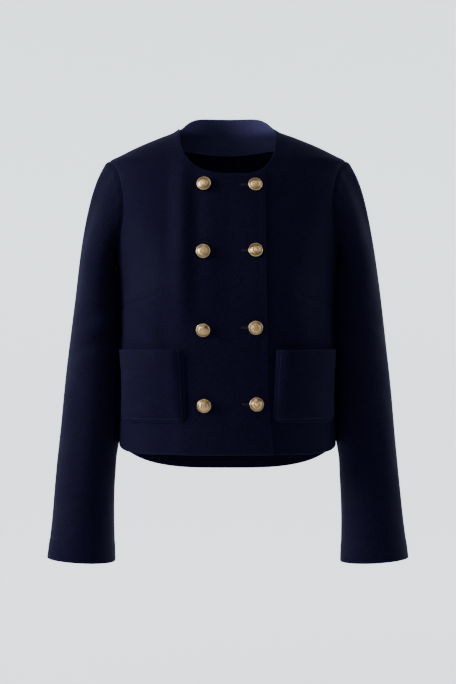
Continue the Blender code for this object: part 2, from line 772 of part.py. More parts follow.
def make_jacket():
    """Builds every piece."""
    cloth = make_material("navy_double_knit", NAVY, 0.8, 0.0)
    facing = make_material("navy_facing", NAVY, 0.75, 0.0)
    metal = make_material("gold_tone_metal", GOLD, 0.35, 1.0)
    make_back(cloth)
    make_left_front(cloth)
    make_right_front(cloth)
    make_neck_facing(facing)
    make_sleeve("sleeve_right", -1, cloth)
    make_sleeve("sleeve_left", 1, cloth)
    make_pocket("pocket_right", -1, right_front_lift, cloth)
    make_pocket("pocket_left", 1, left_front_lift, cloth)
    make_buttons(metal)


for old in list(bpy.data.objects):
    bpy.data.objects.remove(old)
JACKET = make_collection("double_breasted_jacket")
CUTTERS = make_collection("cutters")
make_jacket()
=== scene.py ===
"""The visual model of a cropped, collarless, double-breasted scuba jacket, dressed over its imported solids.

Lengths in the classes are millimetres, and turn to metres as a mesh is made. X runs to the wearer's left,
-Y is the front of the jacket and +Z is up. The origin lies midway between the two shoulder-neck points.
The cloth follows the solids: each piece is a thin shell on its own solid's form, with finer folds.
"""

from __future__ import annotations

import logging
import math
from dataclasses import dataclass, field
from enum import Enum

import bpy
import numpy as np
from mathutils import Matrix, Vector


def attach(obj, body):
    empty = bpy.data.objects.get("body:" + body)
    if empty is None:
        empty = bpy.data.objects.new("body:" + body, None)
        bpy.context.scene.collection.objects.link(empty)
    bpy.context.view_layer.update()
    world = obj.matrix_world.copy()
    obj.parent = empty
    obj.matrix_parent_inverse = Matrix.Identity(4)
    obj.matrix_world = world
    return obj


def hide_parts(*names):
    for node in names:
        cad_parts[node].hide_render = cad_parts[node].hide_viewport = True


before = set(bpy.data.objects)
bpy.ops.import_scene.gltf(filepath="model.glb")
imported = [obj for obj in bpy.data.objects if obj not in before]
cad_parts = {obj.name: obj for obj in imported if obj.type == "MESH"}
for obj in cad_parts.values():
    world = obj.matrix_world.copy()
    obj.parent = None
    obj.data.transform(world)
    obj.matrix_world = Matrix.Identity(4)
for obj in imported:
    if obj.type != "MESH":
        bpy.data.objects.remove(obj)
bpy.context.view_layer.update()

LOG = logging.getLogger("scuba_jacket")
MM = 0.001
QUARTER = math.pi / 2
BODY = "root"
Array = np.ndarray


class Side(Enum):
    """The wearer's side that a piece belongs to, with the sign of X there."""

    RIGHT = -1
    LEFT = 1


class Finish(Enum):
    """The record's material slots."""

    CLOTH = "navy_scuba"
    FACING = "navy_facing"
    METAL = "gold_tone_metal"


def ease(value: Array | float, start: float, end: float) -> Array:
    """A smooth rise, three t squared less two t cubed.

    Args:
        value: where to read the rise.
        start: value at which it is still 0.
        end: value at which it has reached 1.

    Returns:
        Shares from 0 to 1.
    """
    t = np.clip((np.asarray(value, float) - start) / (end - start), 0, 1)
    return t * t * (3 - 2 * t)


def hump(value: Array, width: float) -> Array:
    """A bell curve, e to the minus square of value over width."""
    return np.exp(-((np.asarray(value, float) / width) ** 2))


def unit(vectors: Array) -> Array:
    """The vectors at length 1."""
    return vectors / np.linalg.norm(vectors, axis=-1, keepdims=True)


def bezier(share: Array, corners: tuple[Array, ...]) -> Array:
    """A cubic Bezier curve: each corner weighted by its Bernstein polynomial of the share.

    Args:
        share: shares of the curve's parameter.
        corners: its four corners.

    Returns:
        Points of the curve, one row for each share.
    """
    t = np.asarray(share, float)[..., None]
    a, b, c, d = (np.asarray(p, float) for p in corners)
    return a * (1 - t) ** 3 + 3 * b * t * (1 - t) ** 2 + 3 * c * t**2 * (1 - t) + d * t**3


@dataclass(frozen=True)
class SizeTable:
    """Sizes that change with height, read by a cubic that never swings past the table's own numbers."""

    columns: tuple[str, ...]
    rows: tuple[tuple[float, ...], ...]

    def at(self, name: str, height: Array | float) -> Array:
        """Reads one size. The slope at a row is the harmonic mean of the slopes beside it.

        Args:
            name: a column's name.
            height: heights to read it at.

        Returns:
            The size at each height.
        """
        place = self.columns.index(name)
        table = np.array([(row[0], row[place]) for row in self.rows], float)
        x, y = table[np.argsort(table[:, 0])].T
        step = np.diff(x)
        slope = np.diff(y) / step
        bend = np.empty(len(x))
        same_way = slope[:-1] * slope[1:] > 0
        first = 2 * step[1:] + step[:-1]
        last = step[1:] + 2 * step[:-1]
        below = np.where(same_way, first * slope[1:] + last * slope[:-1], 1.0)
        bend[1:-1] = np.where(same_way, (first + last) * slope[:-1] * slope[1:] / below, 0.0)
        bend[0] = slope[0]
        bend[-1] = slope[-1]
        at = np.clip(np.asarray(height, float), x[0], x[-1])
        k = np.clip(np.searchsorted(x, at) - 1, 0, len(step) - 1)
        t = (at - x[k]) / step[k]
        return (
            y[k] * (1 + 2 * t) * (1 - t) ** 2
            + bend[k] * step[k] * t * (1 - t) ** 2
            + y[k + 1] * t**2 * (3 - 2 * t)
            + bend[k + 1] * step[k] * t**2 * (t - 1)
        )


@dataclass(frozen=True)
class Fold:
    """A soft crease along a line in the cloth: a ridge where rise is positive, a trough where negative."""

    start: tuple[float, float]
    end: tuple[float, float]
    width: float
    rise: float
    bow: float = 0.0
    skew: float = 0.0

    def lift(self, across: Array, height: Array) -> Array:
        """A bell curve across the line, which bows sideways, leans over and fades towards both ends.

        Args:
            across: sideways places in the cloth.
            height: heights in the cloth.

        Returns:
            How far the cloth stands out there.
        """
        a = np.array(self.start)
        run = np.array(self.end) - a
        length = math.hypot(*run)
        right, up = run / length
        along = ((across - a[0]) * right + (height - a[1]) * up) / length
        aside = -(across - a[0]) * up + (height - a[1]) * right
        aside = aside - self.bow * np.sin(math.pi * np.clip(along, 0, 1))
        aside = aside / self.width
        aside = aside * (1 + self.skew * np.tanh(aside))
        uneven = 1 + 0.22 * np.sin(along * 5.1 + self.width)
        fade = ease(along, -0.12, 0.3) * (1 - ease(along, 0.7, 1.12))
        return self.rise * uneven * fade * np.exp(-(aside**2))


def all_folds(folds: tuple[Fold, ...], across: Array, height: Array) -> Array:
    """The sum of several folds."""
    return sum((fold.lift(across, height) for fold in folds), np.zeros(np.shape(across)))


def slow_waves(across: Array, height: Array, seed: float, size: float) -> Array:
    """The unevenness of cloth that hangs free: three long sine waves that run different ways.

    Args:
        across: sideways places in the cloth.
        height: heights in the cloth.
        seed: shifts the waves, so that no two pieces match.
        size: the height of the largest wave.

    Returns:
        How far the cloth stands out there.
    """
    first = np.sin(across / 31 + height / 83 + seed)
    second = np.sin(across / 19 - height / 57 + 2.3 * seed)
    third = np.sin(across / 47 + height / 29 + 4.1 * seed)
    return size * (0.5 * first + 0.28 * second + 0.3 * third)


@dataclass(frozen=True)
class BodyForm:
    """The filled-out body of the jacket: a superellipse at each height, with fullness over the bust."""

    sizes: SizeTable = SizeTable(
        ("height", "half_width", "front_depth", "back_depth", "squareness"),
        (
            (30.0, 68.0, 30.0, 58.0, 2.0),
            (15.0, 70.5, 30.0, 61.0, 2.0),
            (0.0, 74.0, 34.0, 65.0, 2.0),
            (-14.0, 106.0, 46.0, 70.0, 2.0),
            (-27.0, 136.5, 56.0, 74.0, 2.0),
            (-40.0, 163.0, 65.0, 78.0, 2.0),
            (-54.0, 187.0, 73.0, 82.0, 2.0),
            (-80.0, 188.0, 86.0, 88.0, 2.1),
            (-135.0, 184.0, 104.0, 96.0, 2.2),
            (-180.0, 177.0, 117.0, 99.0, 2.35),
            (-215.0, 172.0, 124.0, 98.0, 2.45),
            (-250.0, 167.5, 126.0, 95.0, 2.5),
            (-310.0, 165.5, 122.0, 90.0, 2.5),
            (-400.0, 165.5, 117.0, 87.0, 2.5),
            (-460.0, 166.5, 115.0, 89.0, 2.5),
            (-545.0, 168.0, 113.0, 93.0, 2.5),
        ),
    )
    girth_steps: int = 180
    bust_rise: float = 6.0
    bust_across: float = 86.0
    bust_height: float = -240.0
    bust_width: float = 44.0
    bust_length: float = 70.0

    def point(self, angle: Array | float, height: Array | float) -> Array:
        """Points of the form: x and y solve the superellipse of the ring, plus a bell for the bust.

        Args:
            angle: 0 at centre front, a quarter turn at a side, a half behind; positive to the left.
            height: heights.

        Returns:
            Points, in millimetres.
        """
        angle, height = np.broadcast_arrays(np.asarray(angle, float), np.asarray(height, float))
        power = self.sizes.at("squareness", height)
        sine = np.sin(angle)
        cosine = np.cos(angle)
        reach = (np.abs(sine) ** power + np.abs(cosine) ** power) ** (-1 / power)
        x = self.sizes.at("half_width", height) * sine * reach
        front = self.sizes.at("front_depth", height)
        depth = np.where(cosine > 0, front, self.sizes.at("back_depth", height))
        across = (np.abs(x) - self.bust_across) / self.bust_width
        down = (height - self.bust_height) / self.bust_length
        bust = self.bust_rise * np.exp(-(across**2) - down**2) * np.clip(cosine, 0, 1)
        return np.stack([x, -depth * cosine * reach - bust, height], axis=-1)

    def normal(self, angle: Array | float, height: Array | float) -> Array:
        """Outward normals: the cross product of small steps round and up the form."""
        angle = np.asarray(angle, float)
        height = np.asarray(height, float)
        along = self.point(angle + 1e-3, height) - self.point(angle - 1e-3, height)
        up = self.point(angle, height + 0.5) - self.point(angle, height - 0.5)
        return unit(np.cross(along, up))

    def _girth_table(self, height: Array) -> Array:
        """Girth from centre front to even angles round half a ring: the summed chords between them."""
        angles = np.linspace(0, math.pi, self.girth_steps + 1)
        chords = np.linalg.norm(np.diff(self.point(angles, height[..., None]), axis=-2), axis=-1)
        return np.concatenate([np.zeros(height.shape + (1,)), np.cumsum(chords, axis=-1)], axis=-1)

    def girth(self, angle: Array | float, height: Array | float) -> Array:
        """The distance round the form from centre front to an angle.

        Args:
            angle: angles from 0 to pi.
            height: heights.

        Returns:
            Distances, in millimetres.
        """
        angle, height = np.broadcast_arrays(np.asarray(angle, float), np.asarray(height, float))
        table = self._girth_table(height)
        place = angle / math.pi * self.girth_steps
        low = np.clip(np.floor(place).astype(int), 0, self.girth_steps - 1)[..., None]
        start = np.take_along_axis(table, low, -1)[..., 0]
        end = np.take_along_axis(table, low + 1, -1)[..., 0]
        return start + (end - start) * (place - low[..., 0])

    def angle_at(self, girth: Array | float, height: Array | float) -> Array:
        """The angle at a signed girth from centre front, the reverse of girth.

        Args:
            girth: signed distances round the form.
            height: heights.

        Returns:
            Signed angles.
        """
        distance, height = np.broadcast_arrays(np.asarray(girth, float), np.asarray(height, float))
        table = self._girth_table(height)
        size = np.abs(distance)
        low = np.clip((table <= size[..., None]).sum(axis=-1) - 1, 0, self.girth_steps - 1)[..., None]
        start = np.take_along_axis(table, low, -1)[..., 0]
        end = np.take_along_axis(table, low + 1, -1)[..., 0]
        share = (size - start) / (end - start)
        return np.sign(distance) * (low[..., 0] + share) / self.girth_steps * math.pi

    def angle_of_width(self, x: Array | float, height: Array | float) -> Array:
        """The angle, on the front half, at which the form is x wide."""
        power = self.sizes.at("squareness", height)
        across = np.clip(np.abs(x) / self.sizes.at("half_width", height), 0, 1)
        return np.sign(x) * np.arctan2(across, (1 - across**power) ** (1 / power))

    def raised(self, angle: Array, height: Array, lift: Array | float) -> Array:
        """Points moved out of the form along its normals."""
        lift = np.broadcast_to(np.asarray(lift, float), np.shape(angle))
        return self.point(angle, height) + self.normal(angle, height) * lift[..., None]


FORM = BodyForm()


@dataclass(frozen=True)
class Pattern:
    """The outlines that all pieces share: hem, neck, lap and armholes."""

    seam_half_gap: float = 0.15
    side_hem: float = -487.0
    front_hem_drop: float = 12.0
    front_hem_power: float = 10.0
    back_hem_drop: float = 44.0
    back_hem_power: float = 3.6
    neck_half_width: float = 74.0
    neck_drop: float = 77.0
    neck_side_pull: float = 52.0
    neck_floor_pull: float = 50.0
    back_neck_rise: float = 21.5
    back_neck_power: float = 6.5
    shoulder_tip: float = -49.5
    underarm: float = -215.0
    front_bite: float = -64.0
    back_bite: float = 50.0
    lap: SizeTable = SizeTable(
        ("height", "reach"),
        ((-60.0, 55.5), (-265.0, 58.0), (-400.0, 60.5), (-460.0, 64.0), (-505.0, 70.5)),
    )

    def hem(self, angle: Array | float) -> Array:
        """Hem height: level in front and lower behind, by a power of the angle's sine."""
        sine = np.abs(np.sin(angle))
        front = self.side_hem - self.front_hem_drop * (1 - sine**self.front_hem_power)
        back = self.side_hem - self.back_hem_drop * (1 - sine**self.back_hem_power)
        return np.where(np.cos(angle) > 0, front, back)

    def armhole(self, turn: Array, bite: float) -> Array:
        """Girth and height of the armhole: half an oval, cut bite deep into the panel.

        Args:
            turn: 0 at the shoulder tip, pi at the underarm.
            bite: depth of the cut, negative in front.

        Returns:
            Rows of girth from centre front and height.
        """
        middle = (self.shoulder_tip + self.underarm) / 2
        height = middle + (self.shoulder_tip - self.underarm) / 2 * np.cos(turn)
        return np.stack([FORM.girth(QUARTER, height) + bite * np.sin(turn), height], axis=-1)

    def neckline(self, share: Array, squarer: float = 0.0) -> Array:
        """Width and height of the front neckline, a Bezier curve from its middle to the shoulder.

        Args:
            share: shares of the way from the middle to the shoulder.
            squarer: how many millimetres further the curve's inner corners reach.

        Returns:
            Rows of width and height.
        """
        corners = (
            (0, -self.neck_drop),
            (self.neck_floor_pull + squarer, -self.neck_drop),
            (self.neck_half_width, -self.neck_side_pull - squarer / 2),
            (self.neck_half_width, 0),
        )
        return bezier(share, corners)

    def side_edge(self, share: Array, bite: float, corner: float) -> Array:
        """A panel's side: straight up the side seam, then round the armhole to the shoulder tip.

        Args:
            share: shares of the way from the hem to the shoulder tip.
            bite: the armhole's depth.
            corner: the share at the underarm.

        Returns:
            Rows of girth from centre front and height.
        """
        gap = math.copysign(self.seam_half_gap, bite)
        low = float(self.hem(QUARTER))
        seam_height = low + (self.underarm - low) * np.clip(share / corner, 0, 1)
        seam = np.stack([FORM.girth(QUARTER, seam_height) + gap, seam_height], axis=-1)
        rest = np.clip((share - corner) / (1 - corner), 0, 1)
        hole = self.armhole(math.pi * (1 - rest), bite)
        hole[:, 0] += gap * (1 - ease(np.sin(math.pi * rest), 0, 0.3))
        return np.where((share < corner)[:, None], seam, hole)


PATTERN = Pattern()


def close_steps(count: int, length: float) -> Array:
    """Shares from 0 to 1 in even steps, with finer ones at both ends for the edge to roll over.

    Args:
        count: number of even steps.
        length: the edge's length in millimetres, which sizes the finer steps.

    Returns:
        Rising shares.
    """
    close = np.array([0.0, 0.22, 0.6, 1.1, 2.2]) / length
    middle = np.linspace(close[-1], 1 - close[-1], count)[1:-1]
    return np.concatenate([close, middle, 1 - close[::-1]])


def marked_steps(marks: tuple[float, ...], counts: tuple[int, ...], lengths: tuple[float, float]) -> Array:
    """Shares with even steps from mark to mark, so that a corner keeps its point, and finer end steps.

    Args:
        marks: shares from 0 to 1 that the steps meet.
        counts: number of steps in each stretch.
        lengths: the first and the last stretch's length in millimetres.

    Returns:
        Rising shares.
    """
    parts = [np.linspace(a, b, n, endpoint=False) for a, b, n in zip(marks, marks[1:], counts)]
    close = np.array([0.22, 0.6, 1.1, 2.2])
    first = close * (marks[1] - marks[0]) / lengths[0]
    last = 1 - close[::-1] * (marks[-1] - marks[-2]) / lengths[1]
    even = np.concatenate(parts)
    even = even[(even > first[-1] * 1.2) & (even < 1 - (1 - last[0]) * 1.2)]
    return np.concatenate([[0.0], first, even, last, [1.0]])


def coons(u: Array, v: Array, bottom: Array, top: Array, left: Array, right: Array) -> Array:
    """A patch between four edges: both pairs of edges blended straight across, less the corners' blend.

    Args:
        u: shares from left to right.
        v: shares from bottom to top.
        bottom: the bottom edge at each u.
        top: the top edge at each u.
        left: the left edge at each v.
        right: the right edge at each v.

    Returns:
        A grid of points, one row for each v.
    """
    u = u[None, :, None]
    v = v[:, None, None]
    across = (1 - u) * left[:, None] + u * right[:, None]
    upright = (1 - v) * bottom[None] + v * top[None]
    below = (1 - u) * bottom[0] + u * bottom[-1]
    above = (1 - u) * top[0] + u * top[-1]
    return across + upright - (1 - v) * below - v * above


def distance_to_line(points: Array, line: Array) -> Array:
    """The least distance from each point to the straight stretches of a line.

    Args:
        points: a grid of places in the flat cloth.
        line: the line's corners.

    Returns:
        A distance for each point.
    """
    nearest = np.full(points.shape[:-1], np.inf)
    for a, b in zip(line[:-1], line[1:]):
        run = b - a
        share = np.clip(((points - a) @ run) / max(float(run @ run), 1e-9), 0, 1)
        away = points - a - share[..., None] * run
        nearest = np.minimum(nearest, np.linalg.norm(away, axis=-1))
    return nearest


def edge_distance(flat: Array) -> Array:
    """The distance from each point of a grid to the grid's own rim, exactly 0 on the rim."""
    rim = np.concatenate([flat[0], flat[1:, -1], flat[-1, -2::-1], flat[-2:0:-1, 0], flat[:1, 0]])
    distance = distance_to_line(flat, rim)
    distance[[0, -1]] = 0
    distance[:, [0, -1]] = 0
    return distance


def quads(index: Array, closed: bool) -> Array:
    """Four corner numbers for each cell of a grid of vertex numbers.

    Args:
        index: the grid of vertex numbers.
        closed: whether the last column joins the first.

    Returns:
        One row for each cell.
    """
    if closed:
        index = np.concatenate([index, index[:, :1]], axis=1)
    corners = (index[:-1, :-1], index[:-1, 1:], index[1:, 1:], index[1:, :-1])
    return np.stack(corners, axis=-1).reshape(-1, 4)


def add_piece(name: str, points: Array, faces: Array, material: bpy.types.Material) -> bpy.types.Object:
    """Makes a smooth-shaded object at the origin from points in millimetres.

    Args:
        name: the piece's name.
        points: its vertices.
        faces: rows of vertex numbers; -1 and a repeated corner are left out.
        material: its finish.

    Returns:
        The object, linked to the scene.
    """
    mesh = bpy.data.meshes.new(name)
    listed = [[k for k in dict.fromkeys(row) if k >= 0] for row in faces.tolist()]
    mesh.from_pydata((points * MM).tolist(), [], listed)
    mesh.validate()
    mesh.materials.append(material)
    mesh.shade_smooth()
    made = bpy.data.objects.new(name, mesh)
    bpy.context.scene.collection.objects.link(made)
    return made


def add_attribute(piece: bpy.types.Object, name: str, values: Array) -> None:
    """Stores one number for each vertex of a piece."""
    layer = piece.data.attributes.new(name, "FLOAT", "POINT")
    layer.data.foreach_set("value", np.asarray(values, np.float32).ravel())


@dataclass
class ClothShell:
    """A sheet of cloth with a rolled edge: an outer and an inner skin that meet in the middle of its rim."""

    name: str
    outer: Array
    normals: Array
    rim_distance: Array
    thickness: float
    closed: bool = False

    def build(self, material: bpy.types.Material) -> bpy.types.Object:
        """Makes the mesh. Near the rim both skins bend to the middle along a quarter circle.

        Args:
            material: the cloth's finish.

        Returns:
            The piece.
        """
        radius = self.thickness / 2
        short = radius - np.minimum(self.rim_distance, radius)
        drop = (radius - np.sqrt(radius**2 - short**2))[..., None]
        outer = self.outer - self.normals * drop
        inner = self.outer - self.normals * (self.thickness - drop)
        rows, columns = self.rim_distance.shape
        index = np.arange(rows * columns).reshape(rows, columns)
        inside = np.zeros((rows, columns), bool)
        inside[1:-1, :] = True
        if not self.closed:
            inside[:, [0, -1]] = False
        inner_index = index.copy()
        inner_index[inside] = rows * columns + np.arange(inside.sum())
        points = np.concatenate([outer.reshape(-1, 3), inner[inside]])
        faces = quads(index, self.closed)
        corners = points[faces]
        turned = np.cross(corners[:, 1] - corners[:, 0], corners[:, 3] - corners[:, 0])
        facing = np.einsum("ij,ij->i", turned, self.normals.reshape(-1, 3)[faces[:, 0]]).sum()
        outside, lining = faces, quads(inner_index, self.closed)
        if facing < 0:
            outside = outside[:, ::-1]
        else:
            lining = lining[:, ::-1]
        piece = add_piece(self.name, points, np.concatenate([outside, lining]), material)
        # Closeness to the rim, stored for the finish, which lightens the navy there: partly edge wear, partly
        # a painted sheen along the rolled edge.
        wear_and_sheen_rim = hump(self.rim_distance, 2.0)
        add_attribute(piece, "wear_and_sheen_rim", np.concatenate([wear_and_sheen_rim.ravel(), wear_and_sheen_rim[inside]]))
        return piece


def declare(piece: bpy.types.Object, node: str = "") -> None:
    """Puts a piece on the jacket's body, hides the CAD node that it stands for, if any, and logs its faces.

    Args:
        piece: the piece.
        node: the CAD node that it hides, if any.
    """
    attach(piece, BODY)
    if node:
        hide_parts(node)
    LOG.info("%s: %d faces", piece.name, len(piece.data.polygons))


def declare_cloth(piece: bpy.types.Object, node: str) -> None:
    """Hides the CAD node that a sheet of cloth stands for, and puts the sheet on the jacket's body.

    Args:
        piece: the sheet.
        node: the CAD node.
    """
    declare(piece, node)


@dataclass
class FrontPanel:
    """One front of the jacket, from its side seam to its lap edge, with a bust dart and soft folds."""

    side: Side
    thickness: float = 1.9
    columns: int = 112
    rows: tuple[int, ...] = (88, 56, 46)
    marks: tuple[float, ...] = (0.0, 0.5, 0.8, 1.0)
    lap_rise: float = 3.2
    lap_ramp: tuple[float, float] = (-96.0, -62.0)
    underlap_neck_step: float = 1.5
    neck_squarer: float = 10.0
    hem_depth: float = 28.0
    dart_start: tuple[float, float] = (163.5, -278.0)
    dart_end: tuple[float, float] = (107.0, -260.5)
    dart_depth: float = 2.0
    dart_width: float = 2.7
    lap_neck_rise: float = 1.6
    shared_folds: tuple[Fold, ...] = ()
    own_folds: tuple[Fold, ...] = ()

    @property
    def name(self) -> str:
        """The CAD node's name."""
        return f"front_{self.side.name.lower()}"

    def lift(self, angles: Array, heights: Array) -> Array:
        """How far the outer skin stands off the form: the lap's step, the folds and the dart.

        Args:
            angles: angles round the form.
            heights: heights.

        Returns:
            Lifts, in millimetres.
        """
        x = FORM.point(angles, heights)[..., 0]
        out = all_folds(self.shared_folds, x, heights) + self.soft_detail(x, heights)
        if self.side is Side.RIGHT:
            out = out + self.lap_rise * ease(x, *self.lap_ramp)
        return out

    def soft_detail(self, x: Array, heights: Array) -> Array:
        """Folds, slow waves and the dart, which fade out before the lap so that its layers stay apart."""
        own = self.side.value * x
        clear = ease(own, -40, 20) if self.side is Side.LEFT else ease(own, 62, 92)
        away = ease(own, 20, 70)
        waves = slow_waves(x, heights, 1.7 + self.side.value, 0.5) * away
        return all_folds(self.own_folds, own, heights) * clear + waves + self.dart(own, heights)

    def dart(self, own: Array, heights: Array) -> Array:
        """A sewn dart: a groove that narrows to nothing at its point, with the cloth swelling above it."""
        a = np.array(self.dart_start)
        run = np.array(self.dart_end) - a
        length = math.hypot(*run)
        right, up = run / length
        along = ((own - a[0]) * right + (heights - a[1]) * up) / length
        aside = -(own - a[0]) * up + (heights - a[1]) * right
        strength = ease(along, -0.2, 0.1) * (1 - ease(along, 0.75, 1.15))
        swell = ease(along, -0.3, 0.4) * (1 - ease(along, 0.9, 1.5))
        groove = self.dart_depth * strength * hump(aside, self.dart_width)
        return 0.5 * swell * hump(np.abs(aside) - 6, 6) - groove

    def shares(self) -> Array:
        """The rows' shares of the way from hem to shoulder, which meet the underarm and the neck corner."""
        return marked_steps(self.marks, self.rows, (270, 170))

    def flat_grid(self) -> Array:
        """The panel laid flat, as rows of girth from centre front and height. The lap's girth is negative."""
        u = close_steps(self.columns, 250)
        v = self.shares()
        side_hem = float(PATTERN.hem(QUARTER))
        side = PATTERN.side_edge(v, PATTERN.front_bite, self.marks[1])
        front = self.front_edge(v)
        top_heights = PATTERN.shoulder_tip * (1 - u)
        top = np.stack([FORM.girth(QUARTER, top_heights) - PATTERN.seam_half_gap, top_heights], axis=-1)
        hem_girth = side[0, 0] + (front[0, 0] - side[0, 0]) * u
        hem = np.stack([hem_girth, PATTERN.hem(FORM.angle_at(hem_girth, side_hem))], axis=-1)
        side[0], side[-1] = hem[0], top[0]
        front[0], front[-1] = hem[-1], top[-1]
        return coons(u, v, hem, top, side, front)

    def front_edge(self, share: Array) -> Array:
        """The front edge: up the lap, then round the neckline at an even pace to the shoulder."""
        corner = self.marks[2]
        reach = float(PATTERN.lap.at("reach", -PATTERN.neck_drop))
        under = self.side is Side.LEFT
        neck = PATTERN.neckline(np.linspace(0, 1, 240), self.neck_squarer if under else 0.0)
        far = np.linspace(-reach, 0, 80, endpoint=False)
        level = -PATTERN.neck_drop + self.lap_neck_rise * (far / reach) ** 2
        neck = np.concatenate([np.stack([far, level], axis=-1), neck])
        if under:
            neck[:, 1] -= self.underlap_neck_step * ease(-neck[:, 1], 0, PATTERN.neck_drop / 2)
        run = np.concatenate([[0], np.cumsum(np.linalg.norm(np.diff(neck, axis=0), axis=1))])
        rest = np.clip((share - corner) / (1 - corner), 0, 1) * run[-1]
        round_neck = np.stack([np.interp(rest, run, neck[:, k]) for k in (0, 1)], axis=-1)
        low = float(PATTERN.hem(0.4))
        up = np.clip(share / corner, 0, 1)
        heights = low + (neck[0, 1] - low) * up
        reach = -PATTERN.lap.at("reach", heights)
        reach = reach + (neck[0, 0] - reach) * ease(up, 0.9, 1)
        lap = np.stack([reach, heights], axis=-1)
        edge = np.where((share < corner)[:, None], lap, round_neck)
        angles = FORM.angle_of_width(edge[:, 0], edge[:, 1])
        girth = np.sign(angles) * FORM.girth(np.abs(angles), edge[:, 1])
        return np.stack([girth, edge[:, 1]], axis=-1)

    def edge_detail(self, flat: Array) -> Array:
        """Low relief beside the rims: seams sink, turned hems and the faced edge stand a little proud."""
        count = int(np.searchsorted(self.shares(), self.marks[1]))
        hole = flat[count::3, 0]
        seam = flat[: count + 1 : 4, 0]
        shoulder = flat[-1, ::4]
        hem = flat[0, ::4]
        to_hole = distance_to_line(flat, hole)
        sunk = 0.55 * hump(to_hole, 4) + 0.5 * hump(distance_to_line(flat, shoulder), 3.5)
        sunk = sunk + 0.4 * hump(distance_to_line(flat, seam), 3.5)
        ripple = 0.32 * hump(to_hole - 6, 6) * np.sin(flat[..., 1] / 5.3 + flat[..., 0] / 9)
        to_hem = distance_to_line(flat, hem)
        turned = 0.35 * (1 - ease(to_hem, self.hem_depth - 2, self.hem_depth + 3))
        edge = distance_to_line(flat, flat[:, -1][::4])
        faced = 0.3 * (1 - ease(edge, 6, 11)) - 0.25 * hump(edge - 9, 2.5)
        return turned + faced + ripple - sunk

    def build(self, material: bpy.types.Material) -> bpy.types.Object:
        """Args:
            material: the cloth's finish.

        Returns:
            The piece.
        """
        flat = self.flat_grid()
        angles = self.side.value * FORM.angle_at(flat[..., 0], flat[..., 1])
        heights = flat[..., 1]
        x = FORM.point(angles, heights)[..., 0]
        lift = self.lift(angles, heights)
        relief = self.edge_detail(flat)
        if self.side is Side.LEFT:
            relief = relief * ease(x, -30, 10)
        rim = edge_distance(flat)
        own = self.side.value * x
        hold = ease(distance_to_line(flat, flat[:, 0][::3]), 0, 22)
        base = self.lap_rise * ease(x, *self.lap_ramp) if self.side is Side.RIGHT else 0.0
        lift = base + (lift - base) * np.where(own > 0, hold, 1.0) + relief
        shell = ClothShell(self.name + "_cloth", FORM.raised(angles, heights, lift),
                           FORM.normal(angles, heights), rim, self.thickness)
        piece = shell.build(material)
        declare_cloth(piece, self.name)
        return piece


